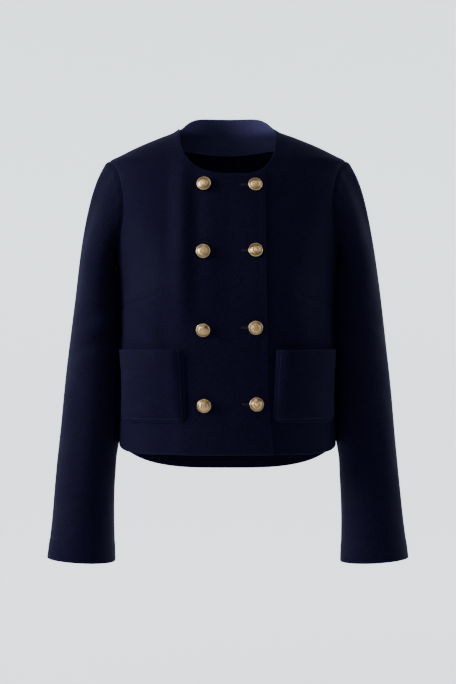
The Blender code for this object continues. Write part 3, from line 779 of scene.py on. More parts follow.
@dataclass
class BackPanel:
    """The back, cut in one, from side seam to side seam."""

    thickness: float = 1.9
    columns: int = 190
    rows: tuple[int, ...] = (92, 86)
    marks: tuple[float, ...] = (0.0, 0.26, 1.0)
    shoulder_share: float = 0.2
    hem_depth: float = 28.0
    folds: tuple[Fold, ...] = ()

    def flat_half(self, u: Array, v: Array) -> tuple[Array, Array, Array]:
        """Half the back's edges, as girth from centre back and height.

        Args:
            u: shares from the side edge to centre back.
            v: shares from hem to shoulder.

        Returns:
            The hem, the shoulder with half the neck, and the side edge.
        """
        side = PATTERN.side_edge(v, PATTERN.back_bite, self.marks[1])
        side[:, 0] = FORM.girth(math.pi, side[:, 1]) - side[:, 0]
        on_shoulder = np.clip(u / self.shoulder_share, 0, 1)
        heights = PATTERN.shoulder_tip * (1 - on_shoulder)
        top = FORM.girth(math.pi, heights) - FORM.girth(QUARTER, heights) - PATTERN.seam_half_gap
        turn = QUARTER + QUARTER * np.clip((u - self.shoulder_share) / (1 - self.shoulder_share), 0, 1)
        neck_heights = PATTERN.back_neck_rise * (1 - np.sin(turn) ** PATTERN.back_neck_power)
        neck = FORM.girth(math.pi, neck_heights) - FORM.girth(turn, neck_heights)
        past = u > self.shoulder_share
        top = np.stack([np.where(past, neck, top), np.where(past, neck_heights, heights)], axis=-1)
        ease_in = np.interp(u, (0, self.shoulder_share, 1), (1, 0.42, 0))
        hem_girth = side[0, 0] * ease_in
        hem_angle = FORM.angle_at(FORM.girth(math.pi, PATTERN.side_hem) - hem_girth, PATTERN.side_hem)
        hem = np.stack([hem_girth, PATTERN.hem(hem_angle)], axis=-1)
        side[0], side[-1] = hem[0], top[0]
        return hem, top, side

    def shares(self) -> Array:
        """The rows' shares of the way from hem to shoulder, which meet the underarm."""
        return marked_steps(self.marks, self.rows, (270, 230))

    def flat_grid(self) -> Array:
        """The back laid flat: girth from centre back, negative on the right, and height."""
        u = close_steps(self.columns // 2, 230)
        u = u[u < 1 - 2.4 / 230]
        u[np.argmin(np.abs(u - self.shoulder_share))] = self.shoulder_share
        u = np.append(u, 1.0)
        v = self.shares()
        hem, top, side = self.flat_half(u, v)
        mirror = np.array([-1.0, 1.0])
        whole_u = np.concatenate([u / 2, 1 - u[-2::-1] / 2])
        bottom = np.concatenate([hem * mirror, hem[-2::-1]])
        above = np.concatenate([top * mirror, top[-2::-1]])
        return coons(whole_u, v, bottom, above, side * mirror, side)

    def place(self, flat: Array) -> tuple[Array, Array]:
        """Angles and heights of places in the flat back."""
        half = FORM.girth(math.pi, flat[..., 1])
        angles = FORM.angle_at(half - np.abs(flat[..., 0]), flat[..., 1])
        return angles * np.where(flat[..., 0] < 0, -1.0, 1.0), flat[..., 1]

    def edge_detail(self, flat: Array) -> Array:
        """Seams sink beside the rims, and the turned hem stands a little proud."""
        count = int(np.searchsorted(self.shares(), self.marks[1]))
        sunk = np.zeros(flat.shape[:2])
        for column in (0, -1):
            hole = distance_to_line(flat, flat[count::3, column])
            seam = distance_to_line(flat, flat[: count + 1 : 4, column])
            sunk = sunk + 0.55 * hump(hole, 4) + 0.4 * hump(seam, 3.5)
            sunk = sunk - 0.3 * hump(hole - 6, 6) * np.sin(flat[..., 1] / 5.1 + flat[..., 0] / 8)
        top = distance_to_line(flat, flat[-1, ::4])
        to_hem = distance_to_line(flat, flat[0, ::4])
        turned = 0.35 * (1 - ease(to_hem, self.hem_depth - 2, self.hem_depth + 3))
        return turned - sunk - 0.35 * hump(top, 3.5)

    def build(self, material: bpy.types.Material) -> bpy.types.Object:
        flat = self.flat_grid()
        angles, heights = self.place(flat)
        rim = edge_distance(flat)
        soft = all_folds(self.folds, flat[..., 0], heights) + slow_waves(flat[..., 0], heights, 0.4, 0.6)
        lift = soft * ease(rim, 0, 30) + self.edge_detail(flat)
        shell = ClothShell("back_cloth", FORM.raised(angles, heights, lift),
                           FORM.normal(angles, heights), rim, self.thickness)
        piece = shell.build(material)
        declare_cloth(piece, "back")
        return piece


@dataclass
class NeckFacing:
    """The facing inside the back neck: a curved strip that lies face to face with the back."""

    back: BackPanel
    thickness: float = 1.2
    gap: float = 0.35
    low: float = -34.5
    low_rise: float = 8.5
    wall: float = 2.0
    columns: int = 120
    rows: int = 26
    shoulder_reach: float = 0.5

    def build(self, material: bpy.types.Material, thread: bpy.types.Material) -> bpy.types.Object:
        """Makes the facing: rows spaced down from the neck and shoulders, on the back's own inner skin.

        Args:
            material: the facing's finish.
            thread: the finish of its line of stitches.

        Returns:
            The piece.
        """
        u = close_steps(self.columns // 2, 140)
        u = np.append(u[u < 1 - 2.4 / 140], 1.0)
        start = self.back.shoulder_share * self.shoulder_reach
        half_u = start + (1 - start) * u
        _, top, _ = self.back.flat_half(half_u, np.array([0.0, 1.0]))
        mirror = np.array([-1.0, 1.0])
        top = np.concatenate([top * mirror, top[-2::-1]])
        v = close_steps(self.rows, 50)[:, None]
        top_angles, top_heights = self.back.place(top)
        share = FORM.point(top_angles, top_heights)[:, 0] / 70
        low = np.minimum(self.low + self.low_rise * share**2, top[:, 1] - 22)
        narrow = 1 - 0.05 * (1 - v)
        flat = np.stack([top[None, :, 0] * narrow, low + (top[:, 1] - low) * v], axis=-1)
        angles, heights = self.back.place(flat)
        base = -self.wall - self.gap
        shell = ClothShell("back_neck_facing_cloth", FORM.raised(angles, heights, base),
                           FORM.normal(angles, heights), edge_distance(flat), self.thickness)
        piece = shell.build(material)
        line = flat[6]
        line_angles, line_heights = self.back.place(line)
        seat = base - self.thickness
        stitches = StitchRow("facing_stitches", length=2.6, gap=0.9).build(
            FORM.raised(line_angles, line_heights, seat), -FORM.normal(line_angles, line_heights), thread
        )
        declare(stitches)
        declare_cloth(piece, "back_neck_facing")
        return piece


@dataclass
class Sleeve:
    """A set-in sleeve: a shaped cap from the armhole, then a tube that widens to a plain cuff."""

    side: Side
    folds: tuple[Fold, ...] = ()
    thickness: float = 1.9
    columns: int = 132
    cap_rows: int = 64
    tube_rows: int = 160
    start_pull: float = 0.2
    end_pull: float = 0.36
    cuff_tilt: float = 3.0
    cuff_front_drop: float = 2.0
    hem_depth: float = 30.0
    body_clear: float = 0.7
    pocket_clear: float = 4.0
    pocket_span: tuple[float, float] = (-451.0, -341.0)
    sizes: SizeTable = SizeTable(
        ("height", "outer", "inner", "front", "back"),
        (
            (-240.0, 233.5, 160.0, 62.0, 58.0),
            (-310.0, 243.0, 157.0, 53.0, 62.0),
            (-400.0, 253.5, 158.0, 46.0, 60.0),
            (-460.0, 258.8, 164.0, 46.0, 54.0),
            (-515.0, 263.6, 172.5, 49.0, 47.0),
            (-600.0, 270.5, 175.5, 55.0, 40.0),
            (-665.0, 278.5, 174.0, 58.0, 36.0),
        ),
    )

    @property
    def name(self) -> str:
        """The CAD node's name."""
        return f"sleeve_{self.side.name.lower()}"

    def body_side(self, depth: Array, height: Array) -> Array:
        """How far out the body and its pocket reach at a depth: the superellipse solved for its width."""
        power = FORM.sizes.at("squareness", height)
        front, back = FORM.sizes.at("front_depth", height), FORM.sizes.at("back_depth", height)
        share = np.clip(np.abs(depth) / np.where(depth < 0, front, back), 0, 1)
        width = FORM.sizes.at("half_width", height) * (1 - share**power) ** (1 / power)
        low, high = self.pocket_span
        pocket = ease(-depth, 26, 40) * ease(height, low - 25, low) * (1 - ease(height, high, high + 25))
        reach = width + self.body_clear + self.pocket_clear * pocket
        return np.where(height > PATTERN.side_hem - 12, reach, 0.0)

    def tube(self, turn: Array, height: Array | float) -> Array:
        """The hanging tube: an oval at each height, pushed out where the body stands in its way.

        Args:
            turn: 0 on the outer side, a quarter in front, a half by the body.
            height: heights.

        Returns:
            Points, in millimetres.
        """
        outer, inner = self.sizes.at("outer", height), self.sizes.at("inner", height)
        front, back = self.sizes.at("front", height), self.sizes.at("back", height)
        x = (outer + inner) / 2 + (outer - inner) / 2 * np.cos(turn)
        y = (back - front) / 2 - (front + back) / 2 * np.sin(turn)
        x = np.maximum(x, self.body_side(y, height))
        return np.stack(np.broadcast_arrays(self.side.value * x, y, height), axis=-1)

    def loop(self, turns: Array) -> tuple[Array, Array, Array]:
        """The armhole in space, with the body's normals and the directions away from the panels.

        Args:
            turns: from 0 at the shoulder tip, down the front and up the back.

        Returns:
            Points, normals and directions.
        """
        front = PATTERN.armhole(turns, PATTERN.front_bite)
        back = PATTERN.armhole(2 * math.pi - turns, PATTERN.back_bite)
        flat = np.where((turns <= math.pi)[:, None], front, back)
        angles = self.side.value * FORM.angle_at(flat[:, 0], flat[:, 1])
        points = FORM.point(angles, flat[:, 1])
        normals = FORM.normal(angles, flat[:, 1])
        along = np.roll(points, -1, axis=0) - np.roll(points, 1, axis=0)
        return points, normals, unit(self.side.value * np.cross(normals, along))

    def surface(self) -> Array:
        """The whole sleeve: a lip tucked under the panels, Bezier curves for the cap, and rings below."""
        turns = np.linspace(0, 2 * math.pi, self.columns, endpoint=False)
        points, normals, away = self.loop(turns)
        start = points + 0.9 * away - 0.25 * normals
        tucked = ((-5.0, -3.0), (-1.2, -2.8), (0.35, -1.7))
        lip = np.array([points + out * away + up * normals for out, up in tucked])
        top = ((1 + np.cos(turns)) / 2)[:, None]
        leave = top * away + (1 - top) * (normals + [0.0, 0.0, -0.6])
        weights = {shift: math.exp(-((shift / 7) ** 2)) for shift in range(-14, 15)}
        leave = unit(sum(weight * np.roll(leave, shift, axis=0) for shift, weight in weights.items()))
        first = self.sizes.rows[0][0]
        end = self.tube(turns, first)
        arrive = unit(self.tube(turns, first - 20) - end)
        length = np.linalg.norm(end - start, axis=1, keepdims=True)
        corners = (start, start + leave * length * self.start_pull,
                   end - arrive * length * self.end_pull, end)
        shares = np.concatenate([[0.0, 0.0025, 0.007, 0.013], np.linspace(0.025, 1, self.cap_rows)])
        cap = np.array([bezier(np.full(self.columns, t), corners) for t in shares])
        cuff = self.sizes.rows[-1][0]
        down = np.linspace(0, 1, self.tube_rows)[1:-1]
        down = np.append(down, 1 - np.array([1.6, 1.0, 0.5, 0.2, 0.0]) / (first - cuff))[:, None]
        tilt = down**4 * (self.cuff_tilt * np.cos(turns) - self.cuff_front_drop * np.sin(turns))
        tube = self.tube(np.broadcast_to(turns, tilt.shape), np.broadcast_to(first + (cuff - first) * down,
                                                                             tilt.shape))
        tube[..., 2] += tilt
        return np.concatenate([lip, cap, tube])

    def detail(self, grid: Array) -> tuple[Array, Array]:
        """Lifts of the sleeve's cloth, and the distance of each point from its two open ends.

        Args:
            grid: the bare sleeve.

        Returns:
            The lifts and the distances.
        """
        step = np.linalg.norm(np.diff(grid, axis=0), axis=-1)
        from_end = np.concatenate([np.zeros((1, self.columns)), np.cumsum(step, axis=0)])
        from_cuff = from_end[-1] - from_end
        from_seam = np.clip(from_end - from_end[3], 0, None)
        turns = np.linspace(0, 360, self.columns, endpoint=False)[None] + 0 * from_seam
        turns = np.where(turns > 180, turns - 360, turns)
        height = grid[..., 2]
        folds = all_folds(self.folds, turns, height)
        waves = slow_waves(turns * 0.9, height, 2.9 + self.side.value, 0.8)
        free = ease(np.abs(turns), 175, 120) + ease(height, PATTERN.side_hem - 20, PATTERN.side_hem - 50)
        free = np.clip(free, 0, 1) * ease(from_seam, 4, 60)
        head = 0.9 * hump(from_seam - 5.5, 5.5) * np.cos(np.radians(turns / 2)) ** 2
        ripple = 0.35 * hump(from_seam - 8, 9) * np.sin(np.radians(turns) * 19)
        sunk = -0.5 * hump(from_seam, 3)
        turned = 0.45 * (1 - ease(from_cuff, self.hem_depth - 2, self.hem_depth + 3))
        stitched = -0.3 * hump(from_cuff - self.hem_depth, 2.6)
        seam = -0.8 * hump((np.abs(turns) - 176) * 0.9, 2.2)
        lift = (folds + waves) * free + (head + ripple + sunk) * ease(from_seam, 0, 4)
        return lift + turned + stitched + seam * ease(from_seam, 0, 8), np.minimum(from_end, from_cuff)

    def build(self, material: bpy.types.Material) -> bpy.types.Object:
        grid = self.surface()
        along = np.roll(grid, -1, axis=1) - np.roll(grid, 1, axis=1)
        normals = unit(self.side.value * np.cross(along, np.gradient(grid, axis=0)))
        lift, rim = self.detail(grid)
        shell = ClothShell(self.name + "_cloth", grid + normals * lift[..., None], normals, rim,
                           self.thickness, closed=True)
        piece = shell.build(material)
        declare_cloth(piece, self.name)
        return piece


@dataclass
class StitchRow:
    """A row of lockstitches: short rounded lengths of thread along a line on the cloth."""

    name: str
    length: float = 2.6
    gap: float = 0.8
    radius: float = 0.24
    sides: int = 5

    def build(self, line: Array, normals: Array, material: bpy.types.Material) -> bpy.types.Object:
        """Copies one stitch along the line: a tube whose radius is a half circle's, tipped at both ends.

        Args:
            line: points along the line of sewing.
            normals: the cloth's normals there.
            material: the thread's finish.

        Returns:
            The piece.
        """
        run = np.concatenate([[0], np.cumsum(np.linalg.norm(np.diff(line, axis=0), axis=1))])
        count = max(int(run[-1] / (self.length + self.gap)), 1)
        middles = (np.arange(count) + 0.5) * run[-1] / count
        centre = np.stack([np.interp(middles, run, line[:, k]) for k in range(3)], axis=-1)
        ahead = np.stack([np.interp(middles + 0.5, run, line[:, k]) for k in range(3)], axis=-1)
        up = unit(np.stack([np.interp(middles, run, normals[:, k]) for k in range(3)], axis=-1))
        forward = unit(ahead - centre)
        aside = unit(np.cross(up, forward))
        t = np.linspace(-1, 1, 6)
        radius = self.radius * np.sqrt(np.clip(1 - np.abs(t) ** 3, 0.02, 1))
        turn = np.linspace(0, 2 * math.pi, self.sides, endpoint=False)
        x = np.broadcast_to(t[:, None] * self.length / 2, (6, self.sides))
        y = radius[:, None] * np.cos(turn)
        z = radius[:, None] * np.sin(turn) + self.radius * 0.3 * (1 - t[:, None] ** 2)
        local = np.stack([x, y, z], axis=-1).reshape(-1, 3)
        axes = np.stack([forward, aside, up], axis=1)
        points = centre[:, None] + np.einsum("vk,nkj->nvj", local, axes)
        index = np.arange(6 * self.sides).reshape(6, self.sides)
        tube = quads(index, True)
        caps = np.concatenate([index[:1, ::-1], index[-1:]])
        size = local.shape[0]
        offsets = (np.arange(count) * size)[:, None, None]
        sides = (tube[None] + offsets).reshape(-1, 4)
        ends = (caps[None] + offsets).reshape(-1, self.sides)
        pad = np.full((len(sides), self.sides - 4), -1)
        faces = np.concatenate([np.concatenate([sides, pad], axis=1), ends])
        return add_piece(self.name, points.reshape(-1, 3), faces, material)


@dataclass
class PatchPocket:
    """A patch pocket: sewn down at three edges, full in the middle and open at the top."""

    front: FrontPanel
    shift: float = 0.0
    top: float = -341.0
    bottom: float = -451.0
    inner_top: float = 65.0
    inner_bottom: float = 60.0
    side_space: float = 48.0
    corner: float = 13.0
    gap: float = 0.45
    fullness: float = 7.0
    mouth_fullness: float = 3.5
    edge_roll: float = 20.0
    thickness: float = 1.9
    hem_depth: float = 30.0
    columns: int = 60
    rows: int = 56
    stitch_column: int = 6

    @property
    def name(self) -> str:
        """The CAD node's name."""
        return f"pocket_{self.front.side.name.lower()}"

    def flat_grid(self) -> tuple[Array, Array]:
        """The pocket laid flat, with lower corners cut round, and each point's distance from its seams.

        Returns:
            Rows of girth and height, and the distances.
        """
        size = self.top - self.bottom
        rises = close_steps(self.rows, size) * size
        shares = close_steps(self.columns, 115)
        short = np.clip(self.corner - rises, 0, None)
        inset = self.corner - np.sqrt(self.corner**2 - short**2)
        heights = self.bottom + rises
        inner_width = self.shift + self.inner_bottom + (self.inner_top - self.inner_bottom) * rises / size
        start = FORM.girth(FORM.angle_of_width(inner_width, heights), heights) + inset
        end = FORM.girth(QUARTER, heights) - self.side_space - inset
        girths = start[:, None] + (end - start)[:, None] * shares[None]
        flat = np.stack([girths, np.broadcast_to(heights[:, None], girths.shape)], axis=-1)
        sewn = np.concatenate([flat[:0:-1, 0], flat[0], flat[1:, -1]])
        return flat, distance_to_line(flat, sewn[::2])

    def build(self, material: bpy.types.Material, thread: bpy.types.Material) -> bpy.types.Object:
        """Args:
            material: the cloth's finish.
            thread: the finish of its stitches.

        Returns:
            The piece.
        """
        flat, sewn = self.flat_grid()
        heights = flat[..., 1]
        angles = self.front.side.value * FORM.angle_at(flat[..., 0], heights)
        rise = (heights - self.bottom) / (self.top - self.bottom)
        roll = 1 - (1 - np.clip(sewn / self.edge_roll, 0, 1)) ** 2
        full = (self.fullness + self.mouth_fullness * rise**2) * roll
        below_mouth = self.top - heights
        turned = 0.7 * (1 - ease(below_mouth, self.hem_depth - 1.5, self.hem_depth + 2.5))
        line = -0.5 * hump(below_mouth - self.hem_depth, 2.0)
        stitched = -0.45 * hump(sewn - 3.2, 1.8)
        waves = slow_waves(flat[..., 0], heights, 3.3 + self.front.side.value, 0.7) * roll
        base = self.front.lift(angles, heights) + self.gap + self.thickness
        lift = base + full + turned + line + stitched + waves
        points, normals = FORM.raised(angles, heights, lift), FORM.normal(angles, heights)
        shell = ClothShell(self.name + "_cloth", points, normals, edge_distance(flat), self.thickness)
        piece = shell.build(material)
        k = self.stitch_column
        path, path_normals = (np.concatenate([grid[:k:-1, k], grid[k, k:-k], grid[k:, -k - 1]])
                              for grid in (points, normals))
        stitches = StitchRow(self.name + "_stitches").build(path, path_normals, thread)
        declare(stitches)
        declare_cloth(piece, self.name)
        return piece


@dataclass
class DomedButton:
    """A domed metal blazer button: raised ornament within a roped rim, and a wire eye behind."""

    node: str
    across: float
    height: float
    lift: float
    pitch: float = 0.0
    roll: float = 0.0
    scale: float = 0.95
    segments: int = 72
    crown_rings: int = 26
    eye_radius: float = 2.6
    eye_wire: float = 0.8

    def profile(self) -> Array:
        """Radius and height from the crown's middle over the rim to the middle of the flat back."""
        crown_r = np.linspace(0, 8.4, self.crown_rings)
        crown = np.stack([crown_r, 5.2 - 2.3 * (crown_r / 8.4) ** 2.2], axis=-1)
        groove = np.array([(8.8, 2.62), (9.05, 2.6)])
        turn = np.radians(np.linspace(150, -75, 9))
        rim = np.stack([10.0 + np.cos(turn), 2.0 + 1.05 * np.sin(turn)], axis=-1)
        back = np.array([(9.6, 0.45), (8.6, 0.1), (4.0, 0.0), (0.0, 0.0)])
        return np.concatenate([crown, groove, rim, back]) * [self.scale, 1.0]

    @staticmethod
    def ornament(x: Array, y: Array) -> Array:
        """A plain striped shield between two leaf sprays under three beads: sums of eased shapes.

        Args:
            x: places across the crown.
            y: places up the crown.

        Returns:
            The relief's height, in millimetres.
        """
        low = np.clip((-0.4 - y) / 3.4, 0, 1)
        half_width = 2.5 * np.sqrt(1 - low**2)
        inside = np.minimum(np.minimum(half_width - np.abs(x), 2.4 - y), y + 3.8)
        shield = 0.55 * ease(inside, -0.1, 0.35) - 0.3 * ease(inside, 0.45, 0.8)
        stripes = 0.28 * ease(inside, 0.6, 0.9) * np.cos(x * 2 * math.pi / 1.15)
        beads = sum(0.6 * np.exp(-(((x - a) / 0.65) ** 2) - ((y - b) / 0.65) ** 2)
                    for a, b in ((-1.7, 3.9), (0.0, 4.7), (1.7, 3.9)))
        r = np.hypot(x, y)
        angle = np.arctan2(np.abs(x), -y)
        spray = hump(r - 5.2 - 0.5 * np.sin(angle * 14), 0.75) * ease(angle, 0.25, 0.5)
        spray = spray * (1 - ease(angle, 2.2, 2.5))
        return shield + stripes + beads + 0.6 * spray * (0.7 + 0.5 * np.cos(angle * 14))

    def head(self) -> tuple[Array, Array, Array]:
        """The turned head, with the ornament on its crown and a rope on its rim.

        Returns:
            Local points, faces and the relief at each point.
        """
        profile = self.profile()
        turn = np.linspace(0, 2 * math.pi, self.segments, endpoint=False)
        r, z = profile[:, :1], profile[:, 1:]
        x, y = r * np.cos(turn), r * np.sin(turn)
        crown = np.zeros((len(profile), 1))
        crown[: self.crown_rings] = 1.0
        relief = self.ornament(x, y) * crown * (1 - ease(r, 7.4, 8.2))
        rim = hump(r - 10.2, 0.9) * ease(z, 0.9, 2.2)
        rope = 0.16 * rim * np.cos(turn * 30 + (r - 10) * 2.2)
        heights = z + relief + rope
        points = np.stack([x, y, np.broadcast_to(heights, x.shape)], axis=-1)
        shine = np.clip(0.42 + relief + 0.5 * rim + 1.2 * rope - 0.35 * hump(r - 8.9, 0.5), 0, 1)
        index = np.arange(points.shape[0] * self.segments).reshape(points.shape[:2])
        index[0] = index[0, 0]
        index[-1] = index[-1, 0]
        return points.reshape(-1, 3), quads(index, True), shine.ravel()

    def eye(self) -> tuple[Array, Array]:
        """The wire eye: a ring torus that lies level and sinks halfway into the head's back."""
        around = np.linspace(0, 2 * math.pi, 24, endpoint=False)[:, None]
        wire = np.linspace(0, 2 * math.pi, 10, endpoint=False)[None]
        reach = self.eye_radius + self.eye_wire * np.cos(wire)
        points = np.stack([reach * np.cos(around), self.eye_wire * np.sin(wire) + 0 * around,
                           reach * np.sin(around)], axis=-1)
        index = np.arange(240).reshape(24, 10)
        index = np.concatenate([index, index[:1]])
        return points.reshape(-1, 3), quads(index, True)[:, ::-1]

    def build(self, material: bpy.types.Material) -> bpy.types.Object:
        """Makes the button on its seat. The head tilts about its own middle.

        Args:
            material: the metal's finish.

        Returns:
            The piece.
        """
        head, faces, shine = self.head()
        ring, ring_faces = self.eye()
        a, b = math.radians(self.pitch), math.radians(self.roll)
        tip = np.array([[1, 0, 0], [0, math.cos(a), -math.sin(a)], [0, math.sin(a), math.cos(a)]])
        twist = np.array([[math.cos(b), -math.sin(b), 0], [math.sin(b), math.cos(b), 0], [0, 0, 1]])
        local = np.concatenate([head @ twist.T, ring]) @ tip.T
        angle = FORM.angle_of_width(np.array(self.across), np.array(self.height))
        normal = FORM.normal(angle, self.height)
        level = unit(np.cross([0.0, 0.0, 1.0], normal))
        axes = np.stack([level, np.cross(normal, level), normal])
        points = FORM.point(angle, self.height) + normal * self.lift + local @ axes
        faces = np.concatenate([faces, ring_faces + len(head)])
        piece = add_piece(self.node + "_head", points, faces, material)
        add_attribute(piece, "relief", np.concatenate([shine, np.full(len(ring), 0.3)]))
        declare(piece, self.node)
        return piece


@dataclass
class Buttonhole:
    """A worked buttonhole: a close ring of thread round a slit."""

    number: int
    front: FrontPanel
    across: float
    height: float
    reach: float = 20.5
    past: float = 3.9
    half_width: float = 0.95
    cord: float = 0.62

    def build(self, material: bpy.types.Material) -> bpy.types.Object:
        """Carries a small circle round a long, round-ended loop on the cloth, ribbed by its stitches.

        Args:
            material: the thread's finish.

        Returns:
            The piece.
        """
        steps, sides = 260, 8
        half = (self.reach + self.past) / 2
        middle = (self.past - self.reach) / 2
        turn = np.linspace(0, 2 * math.pi, steps, endpoint=False)
        cosine, sine = np.cos(turn), np.sin(turn)
        x = middle + half * np.sign(cosine) * (1 - (1 - np.abs(cosine)) ** 1.6)
        y = self.half_width * np.sign(sine) * np.abs(sine) ** 0.35
        section = np.linspace(0, 2 * math.pi, sides, endpoint=False)
        rib = 1 + 0.16 * np.cos(np.arange(steps) * math.pi)
        loop = np.stack([x, y], axis=-1)
        along = unit(np.roll(loop, -1, axis=0) - np.roll(loop, 1, axis=0))
        aside = np.stack([along[:, 1], -along[:, 0]], axis=-1)
        wide = (self.cord * rib)[:, None] * np.cos(section)
        tall = (self.cord * rib)[:, None] * np.sin(section) * 0.75
        place = loop[:, None] + aside[:, None] * wide[..., None]
        across = self.across + place[..., 0]
        heights = self.height + place[..., 1]
        angles = FORM.angle_of_width(across, heights)
        lift = self.front.lift(angles, heights) + 0.15 + tall
        points = FORM.raised(angles, heights, lift)
        index = np.arange(steps * sides).reshape(steps, sides)
        index = np.concatenate([index, index[:1]])
        name = f"buttonhole_{self.number}_thread"
        piece = add_piece(name, points.reshape(-1, 3), quads(index, True), material)
        declare(piece)
        return piece


def linear(hex_colour: str) -> tuple[float, float, float, float]:
    """An sRGB hex colour as linear light, with full alpha.

    Args:
        hex_colour: six hex digits after a hash.

    Returns:
        Red, green, blue and alpha.
    """
    parts = [int(hex_colour[k : k + 2], 16) / 255 for k in (1, 3, 5)]
    red, green, blue = (c / 12.92 if c <= 0.04045 else ((c + 0.055) / 1.055) ** 2.4 for c in parts)
    return red, green, blue, 1.0


def add_node(material: bpy.types.Material, kind: str, settings: dict[str, object] | None = None,
             inputs: dict[str, object] | None = None) -> bpy.types.Node:
    """Adds a node with its settings, values and links.

    Args:
        material: the material that it goes into.
        kind: the node's type.
        settings: properties to set.
        inputs: a value, or a socket to link from, for each named input.

    Returns:
        The node.
    """
    tree = material.node_tree
    node = tree.nodes.new(kind)
    for name, value in (settings or {}).items():
        setattr(node, name, value)
    for name, value in (inputs or {}).items():
        socket = node.inputs[int(name)] if name.isdigit() else node.inputs[name]
        if isinstance(value, bpy.types.NodeSocket):
            tree.links.new(value, socket)
        else:
            socket.default_value = value
    return node


def start_material(name: str) -> tuple[bpy.types.Material, bpy.types.Node]:
    """A material with only its Principled shader and output."""
    material = bpy.data.materials.new(name)
    material.use_nodes = True
    return material, material.node_tree.nodes["Principled BSDF"]


def feed(material: bpy.types.Material, shader: bpy.types.Node, name: str,
         source: bpy.types.NodeSocket) -> None:
    """Links a socket into one of the shader's inputs."""
    material.node_tree.links.new(source, shader.inputs[name])


def spread(material: bpy.types.Material, value: bpy.types.NodeSocket, start: float, end: float,
           low: float = 0.0, high: float = 1.0) -> bpy.types.NodeSocket:
    """Turns the span from start to end into the span from low to high, held at both ends."""
    limits = {"From Min": start, "From Max": end, "To Min": low, "To Max": high}
    return add_node(material, "ShaderNodeMapRange", {}, {"Value": value, **limits}).outputs["Result"]


def blend(material: bpy.types.Material, share: bpy.types.NodeSocket, first: str | bpy.types.NodeSocket,
          second: str) -> bpy.types.NodeSocket:
    """Mixes two colours, each a hex colour or, the first, a socket."""
    start = linear(first) if isinstance(first, str) else first
    return add_node(material, "ShaderNodeMix", {"data_type": "RGBA"},
                    {"0": share, "6": start, "7": linear(second)}).outputs[2]


def bump(material: bpy.types.Material, height: bpy.types.NodeSocket, strength: float, depth_mm: float,
         **under: bpy.types.NodeSocket) -> bpy.types.NodeSocket:
    """Tilts the surface's normal by a relief; under, a Normal, is a coarser relief beneath it."""
    return add_node(material, "ShaderNodeBump", {},
                    {"Height": height, "Strength": strength, "Distance": depth_mm * MM, **under}).outputs[0]


@dataclass(frozen=True)
class ScubaCrepe:
    """Scuba crepe: a double-knit polyester jersey, heat-set so that its face is finely pebbled.

    The pebbles break up the light, so the face looks matt and nearly black where it turns away, and its
    fine hairs lift a faint blue bloom where it curves.
    """

    name: str = "scuba_crepe_knit"
    deep: str = "#0d0a1a"
    bright: str = "#161233"
    # A lighter navy for the rims: partly edge wear, partly painted sheen.
    wear_and_sheen_colour: str = "#1c1a40"
    roughness: float = 0.84
    sheen: float = 0.035
    sheen_colour: str = "#7f86cc"
    specular: float = 0.07
    wear_and_sheen_share: float = 0.35
    pebble_mm: float = 1.9
    stitch_mm: float = 0.9
    grain_depth: float = 0.16

    def build(self) -> bpy.types.Material:
        """Mixes two navies by the pebbles' height, lightens them towards each sheet's rim as edge wear and a
        painted sheen, and bumps the face with the pebbles and finer stitches.
        """
        material, shader = start_material(self.name)
        place = add_node(material, "ShaderNodeTexCoord").outputs["Object"]
        pebble = add_node(material, "ShaderNodeTexNoise", {"noise_dimensions": "3D"},
                          {"Vector": place, "Scale": 1 / (self.pebble_mm * MM), "Detail": 3.0,
                           "Roughness": 0.62, "Distortion": 0.35}).outputs["Fac"]
        cloud = add_node(material, "ShaderNodeTexNoise", {"noise_dimensions": "3D"},
                         {"Vector": place, "Scale": 16.0, "Detail": 2.0}).outputs["Fac"]
        mixed = blend(material, spread(material, pebble, 0.35, 0.68), self.deep, self.bright)
        # Painted sheen and edge wear: the navy is blended towards a lighter one near every rim.
        wear_and_sheen_rim = add_node(material, "ShaderNodeAttribute", {"attribute_name": "wear_and_sheen_rim"}).outputs["Fac"]
        part = add_node(material, "ShaderNodeMath", {"operation": "MULTIPLY"},
                        {"0": wear_and_sheen_rim, "1": self.wear_and_sheen_share}).outputs["Value"]
        feed(material, shader, "Base Color", blend(material, part, mixed, self.wear_and_sheen_colour))
        feed(material, shader, "Roughness",
             spread(material, cloud, 0.3, 0.7, self.roughness - 0.05, self.roughness + 0.07))
        fine = add_node(material, "ShaderNodeTexVoronoi", {"feature": "F1"},
                        {"Vector": place, "Scale": 1 / (self.stitch_mm * MM)}).outputs["Distance"]
        low = bump(material, pebble, 0.55, self.grain_depth * 2)
        feed(material, shader, "Normal", bump(material, fine, 0.3, self.grain_depth, Normal=low))
        shader.inputs["Specular IOR Level"].default_value = self.specular
        shader.inputs["Sheen Weight"].default_value = self.sheen
        shader.inputs["Sheen Roughness"].default_value = 0.45
        shader.inputs["Sheen Tint"].default_value = linear(self.sheen_colour)
        material.diffuse_color = linear(self.bright)
        return material


@dataclass(frozen=True)
class PaintedLightFacing(ScubaCrepe):
    """The same knit with its smooth side out, a little smoother than the pebbled face, and with its navies
    made several times brighter as painted light where the facing catches the light.
    """

    name: str = "scuba_facing_painted_light"
    # Painted light: these navies stand several times brighter than the cloth's own, for the light that falls
    # on the facing.
    deep: str = "#323050"
    bright: str = "#43416c"
    wear_and_sheen_colour: str = "#4a4976"
    roughness: float = 0.6
    sheen: float = 0.06
    pebble_mm: float = 1.2
    grain_depth: float = 0.07


